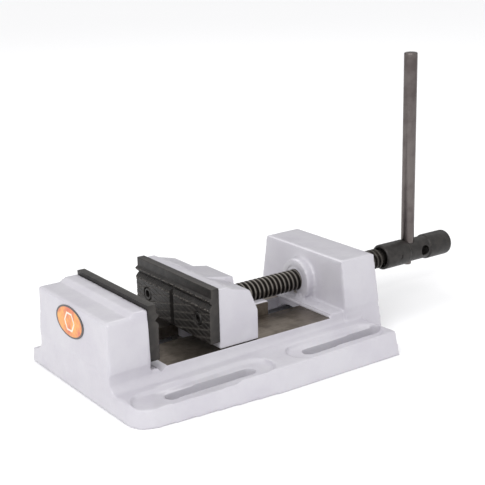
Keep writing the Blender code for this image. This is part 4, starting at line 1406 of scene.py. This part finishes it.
# -------------------------------------------------------------------- label
@dataclass
class EndLabel:
    """Plain oval label with a dark rim and a hexagon outline, and no lettering.

    Attributes:
        rim: Share of the oval inside its dark rim.
        steps: Number of flats round the oval.
        lean: Slope of the casting's end face.
        hexagon: Outer radius of the hexagon.
        stroke: Width of its outline.
        layer: Thickness of each printed layer.
        proud: How far the film's face stands out, clear of the casting's uneven skin.
    """

    rim: float = 0.9
    steps: int = 120
    lean: float = 2.05 / 64.6
    hexagon: float = 7.6 * MM
    stroke: float = 1.5 * MM
    layer: float = 0.03 * MM
    proud: float = 0.95 * MM

    def slab(self, outer: list, inner: list, out: float, ink: int) -> tuple[list, list, list]:
        """Return a closed plate or ring that lies on the end face.

        Args:
            outer: Outline as y and z.
            inner: Outline of its hole, or an empty list.
            out: How far it stands out from the back of the label.
            ink: Index of its material.

        Returns:
            Vertices, faces and material indices.
        """
        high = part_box("name_label")[1]
        back = high.x - self.lean * high.z
        vertices, faces = [], []
        for depth in (0.0, out):
            for y, z in outer + inner:
                vertices.append((back + self.lean * z - depth, y, z))
        count, total = len(outer), len(outer) + len(inner)
        for start, end in ((0, count), (count, total)):
            for k in range(start, end):
                m = start + (k - start + 1) % (end - start)
                faces.append((k, m, total + m, total + k))
        for level in (0, total):
            if inner:
                for k in range(count):
                    m = (k + 1) % count
                    faces.append((level + k, level + m, level + count + m, level + count + k))
            else:
                faces.append(tuple(range(level, level + count)))
        return vertices, faces, [ink] * len(faces)

    def build(self, film: Material, ink: Material, pale: Material) -> Object:
        """Lay the film, its rim and its outline on the end face.

        Args:
            film: Material of the film.
            ink: Dark ink of the rim.
            pale: Pale ink of the outline.

        Returns:
            The piece, on its body.
        """
        low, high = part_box("name_label")
        middle = middle_of("name_label")
        half_y, half_z = (high.y - low.y) / 2, (high.z - low.z) / 2
        turn = [2 * math.pi * k / self.steps for k in range(self.steps)]
        oval = [[(middle.y + s * half_y * math.cos(a), middle.z + s * half_z * math.sin(a))
                 for a in turn] for s in (1.0, self.rim)]
        corner = [2 * math.pi * k / 6 for k in range(6)]
        hexagon = [[(middle.y + r * math.cos(a), middle.z + r * math.sin(a)) for a in corner]
                   for r in (self.hexagon, self.hexagon - self.stroke)]
        layers = [self.slab(oval[0], [], self.proud, 1),
                  self.slab(oval[1], [], self.proud + self.layer, 0),
                  self.slab(hexagon[0], hexagon[1], self.proud + 2 * self.layer, 2)]
        mesh = bpy.data.meshes.new("oval_label")
        with editing(mesh) as bm:
            for vertices, faces, inks in layers:
                layer = mesh_from("layer", vertices, faces)
                layer.polygons.foreach_set("material_index", inks)
                bm.from_mesh(layer)
        for shader in (film, ink, pale):
            mesh.materials.append(shader)
        item = make_object("oval_label", mesh)
        place(item, "root", ["name_label"])
        return item


# ------------------------------------------------------------------- camera
@dataclass(frozen=True)
class Studio:
    """Camera, floor and soft light.

    Attributes:
        azimuth: Degrees from straight in front, to the left.
        elevation: Degrees above the table.
        roll: Degrees of roll.
        focal_mm: Focal length on a 36 mm frame.
        camera: Place of the camera.
        room: Brightness of the white room.
        wall: Share of it that the wall behind the vise gives.
        floor_reach: How far the floor goes each way.
        aim: Point that the lamps look at.
        lamps: Name, place, watts and side of each square soft box.
    """

    azimuth: float = -35.11
    elevation: float = 16.57
    roll: float = -1.46
    focal_mm: float = 81.56
    camera: tuple[float, float, float] = (-0.4864, -0.6302, 0.3129)
    room: float = 1.04
    wall: float = 0.12
    floor_reach: float = 12.0
    aim: tuple[float, float, float] = (0.0, 0.0, 0.03)
    lamps: tuple = (("key", (-1.1, -0.5, 0.95), 6.0, 0.9),
                    ("spark", (-0.45, -0.95, 1.0), 2.6, 0.12),
                    ("rim", (0.6, 1.2, 1.4), 3.0, 0.8))

    def add_camera(self) -> None:
        """Add the camera and make it the scene's own."""
        turn = math.radians(self.azimuth)
        rise = math.radians(self.elevation)
        back = Vector((math.sin(turn) * math.cos(rise), -math.cos(turn) * math.cos(rise),
                       math.sin(rise)))
        right = (-back).cross(Vector(UP)).normalized()
        up = right.cross(-back)
        lean = math.radians(self.roll)
        side = right * math.cos(lean) + up * math.sin(lean)
        top = up * math.cos(lean) - right * math.sin(lean)
        data = bpy.data.cameras.new("camera")
        data.lens = self.focal_mm
        data.sensor_width = 36.0
        data.clip_start = 0.01
        item = bpy.data.objects.new("camera", data)
        columns = Matrix((side, top, back)).transposed()
        item.matrix_world = Matrix.Translation(self.camera) @ columns.to_4x4()
        bpy.context.scene.collection.objects.link(item)
        bpy.context.scene.camera = item

    def add_lamp(self, name: str, place_at: tuple, power: float, size: float) -> None:
        """Add a square soft box that looks at the vise.

        Args:
            name: Name of the lamp.
            place_at: Where it stands.
            power: Watts.
            size: Side of the square.
        """
        data = bpy.data.lights.new(name, "AREA")
        data.energy = power
        data.size = size
        item = bpy.data.objects.new(name, data)
        item.location = place_at
        gaze = Vector(self.aim) - Vector(place_at)
        item.rotation_euler = gaze.to_track_quat("-Z", "Y").to_euler()
        bpy.context.scene.collection.objects.link(item)

    def add_floor(self) -> None:
        """Add a plain pale floor, just under the vise."""
        reach = self.floor_reach
        floor = make_object("floor", box_mesh("floor", (-reach, -reach, -20 * MM),
                                              (reach, reach, -0.3 * MM)))
        shader = bpy.data.materials.new("pale_floor")
        shader.use_nodes = True
        surface = shader.node_tree.nodes["Principled BSDF"]
        surface.inputs["Base Color"].default_value = linear("#FBFBFC")
        surface.inputs["Roughness"].default_value = 0.9
        surface.inputs["Specular IOR Level"].default_value = 0.0
        floor.data.materials.append(shader)

    def add_sky(self) -> None:
        """Light the scene from a white room whose wall behind the vise is dark.

        The camera itself sees that wall as white, so only reflections darken.
        """
        world = bpy.data.worlds.new("room")
        world.use_nodes = True
        tree = world.node_tree
        turn = math.radians(self.azimuth)
        ray = add_node(tree, "ShaderNodeTexCoord")
        ahead = add_node(tree, "ShaderNodeVectorMath", {"operation": "DOT_PRODUCT"}, {
            0: ray.outputs["Generated"], 1: (-math.sin(turn), math.cos(turn), 0.0)})
        wall = add_node(tree, "ShaderNodeMapRange", {"interpolation_type": "SMOOTHSTEP"}, {
            "Value": ahead.outputs["Value"], "From Min": 0.05, "From Max": 0.6})
        parts = add_node(tree, "ShaderNodeSeparateXYZ", None, {0: ray.outputs["Generated"]})
        low = add_node(tree, "ShaderNodeMapRange", {"interpolation_type": "SMOOTHSTEP"}, {
            "Value": parts.outputs["Z"], "From Min": 0.62, "From Max": 0.22})
        dark = add_node(tree, "ShaderNodeMath", {"operation": "MULTIPLY"}, {
            0: wall.outputs["Result"], 1: low.outputs["Result"]})
        path = add_node(tree, "ShaderNodeLightPath")
        unseen = add_node(tree, "ShaderNodeMath", {"operation": "SUBTRACT"}, {
            0: 1.0, 1: path.outputs["Is Camera Ray"]})
        shade = add_node(tree, "ShaderNodeMath", {"operation": "MULTIPLY"}, {
            0: dark.outputs[0], 1: unseen.outputs[0]})
        strength = add_node(tree, "ShaderNodeMapRange", None, {
            "Value": shade.outputs[0], "To Min": self.room, "To Max": self.room * self.wall})
        background = tree.nodes["Background"]
        background.inputs["Color"].default_value = linear("#FFFFFF")
        tree.links.new(strength.outputs["Result"], background.inputs["Strength"])
        bpy.context.scene.world = world
        bpy.context.scene.view_settings.view_transform = "Standard"

    def build(self) -> None:
        """Set up the whole studio."""
        self.add_camera()
        self.add_floor()
        self.add_sky()
        for lamp in self.lamps:
            self.add_lamp(*lamp)


def dress_small_parts(ground: Material, black: Material, paint: Material) -> None:
    """Give the CAD pieces that keep their shape their finishes.

    Args:
        ground: Ground steel.
        black: Black oxide steel.
        paint: Enamel of the castings, sprayed over the nut too.
    """
    finishes = {
        paint: ("screw_nut",),
        black: ("head_pin", "keeper_bolt_front", "keeper_bolt_rear"),
        ground: ("nut_key_screw", "thrust_disc", "retaining_pin_near", "retaining_pin_far",
                 "keeper_plate", "keeper_washer_front", "keeper_washer_rear")}
    for shader, nodes in finishes.items():
        for node in nodes:
            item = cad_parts[node]
            if not item.material_slots:
                item.data.materials.append(shader)
            for slot in item.material_slots:
                slot.link = "OBJECT"
                slot.material = shader
            LOG.info("%s: CAD piece in %s", node, shader.name)


def main() -> None:
    """Build the studio and every piece of the vise."""
    logging.basicConfig(level=logging.INFO, format="%(name)s: %(message)s")
    Studio().build()
    paint, bare = ENAMEL.material(), MACHINED_IRON.material()
    black, ground = BLACK_OXIDE.material(), GROUND_STEEL.material()
    BodyCasting("cast_body", "body_casting", "root", voxel=1.15 * MM).build(paint, bare)
    MovableJaw("cast_jaw", "movable_jaw_casting", "movable_jaw", voxel=0.8 * MM).build(paint, bare)
    JawPlate("fixed_jaw_plate", "root", Facing.REAR,
             ("fixed_jaw_screw_near", "fixed_jaw_screw_far")).build(black, black)
    JawPlate("movable_jaw_plate", "movable_jaw", Facing.FRONT,
             ("movable_jaw_screw_near", "movable_jaw_screw_far"), upright=True).build(black, black)
    LeadScrew().build(THREAD_STEEL.material())
    HandleHead().build(BLACK_OXIDE.material())
    TommyBar().build(DRAWN_BAR.material())
    EndLabel().build(FILM.material(), DARK_INK.material(), PALE_INK.material())
    dress_small_parts(ground, black, paint)


if __name__ == "__main__":
    main()
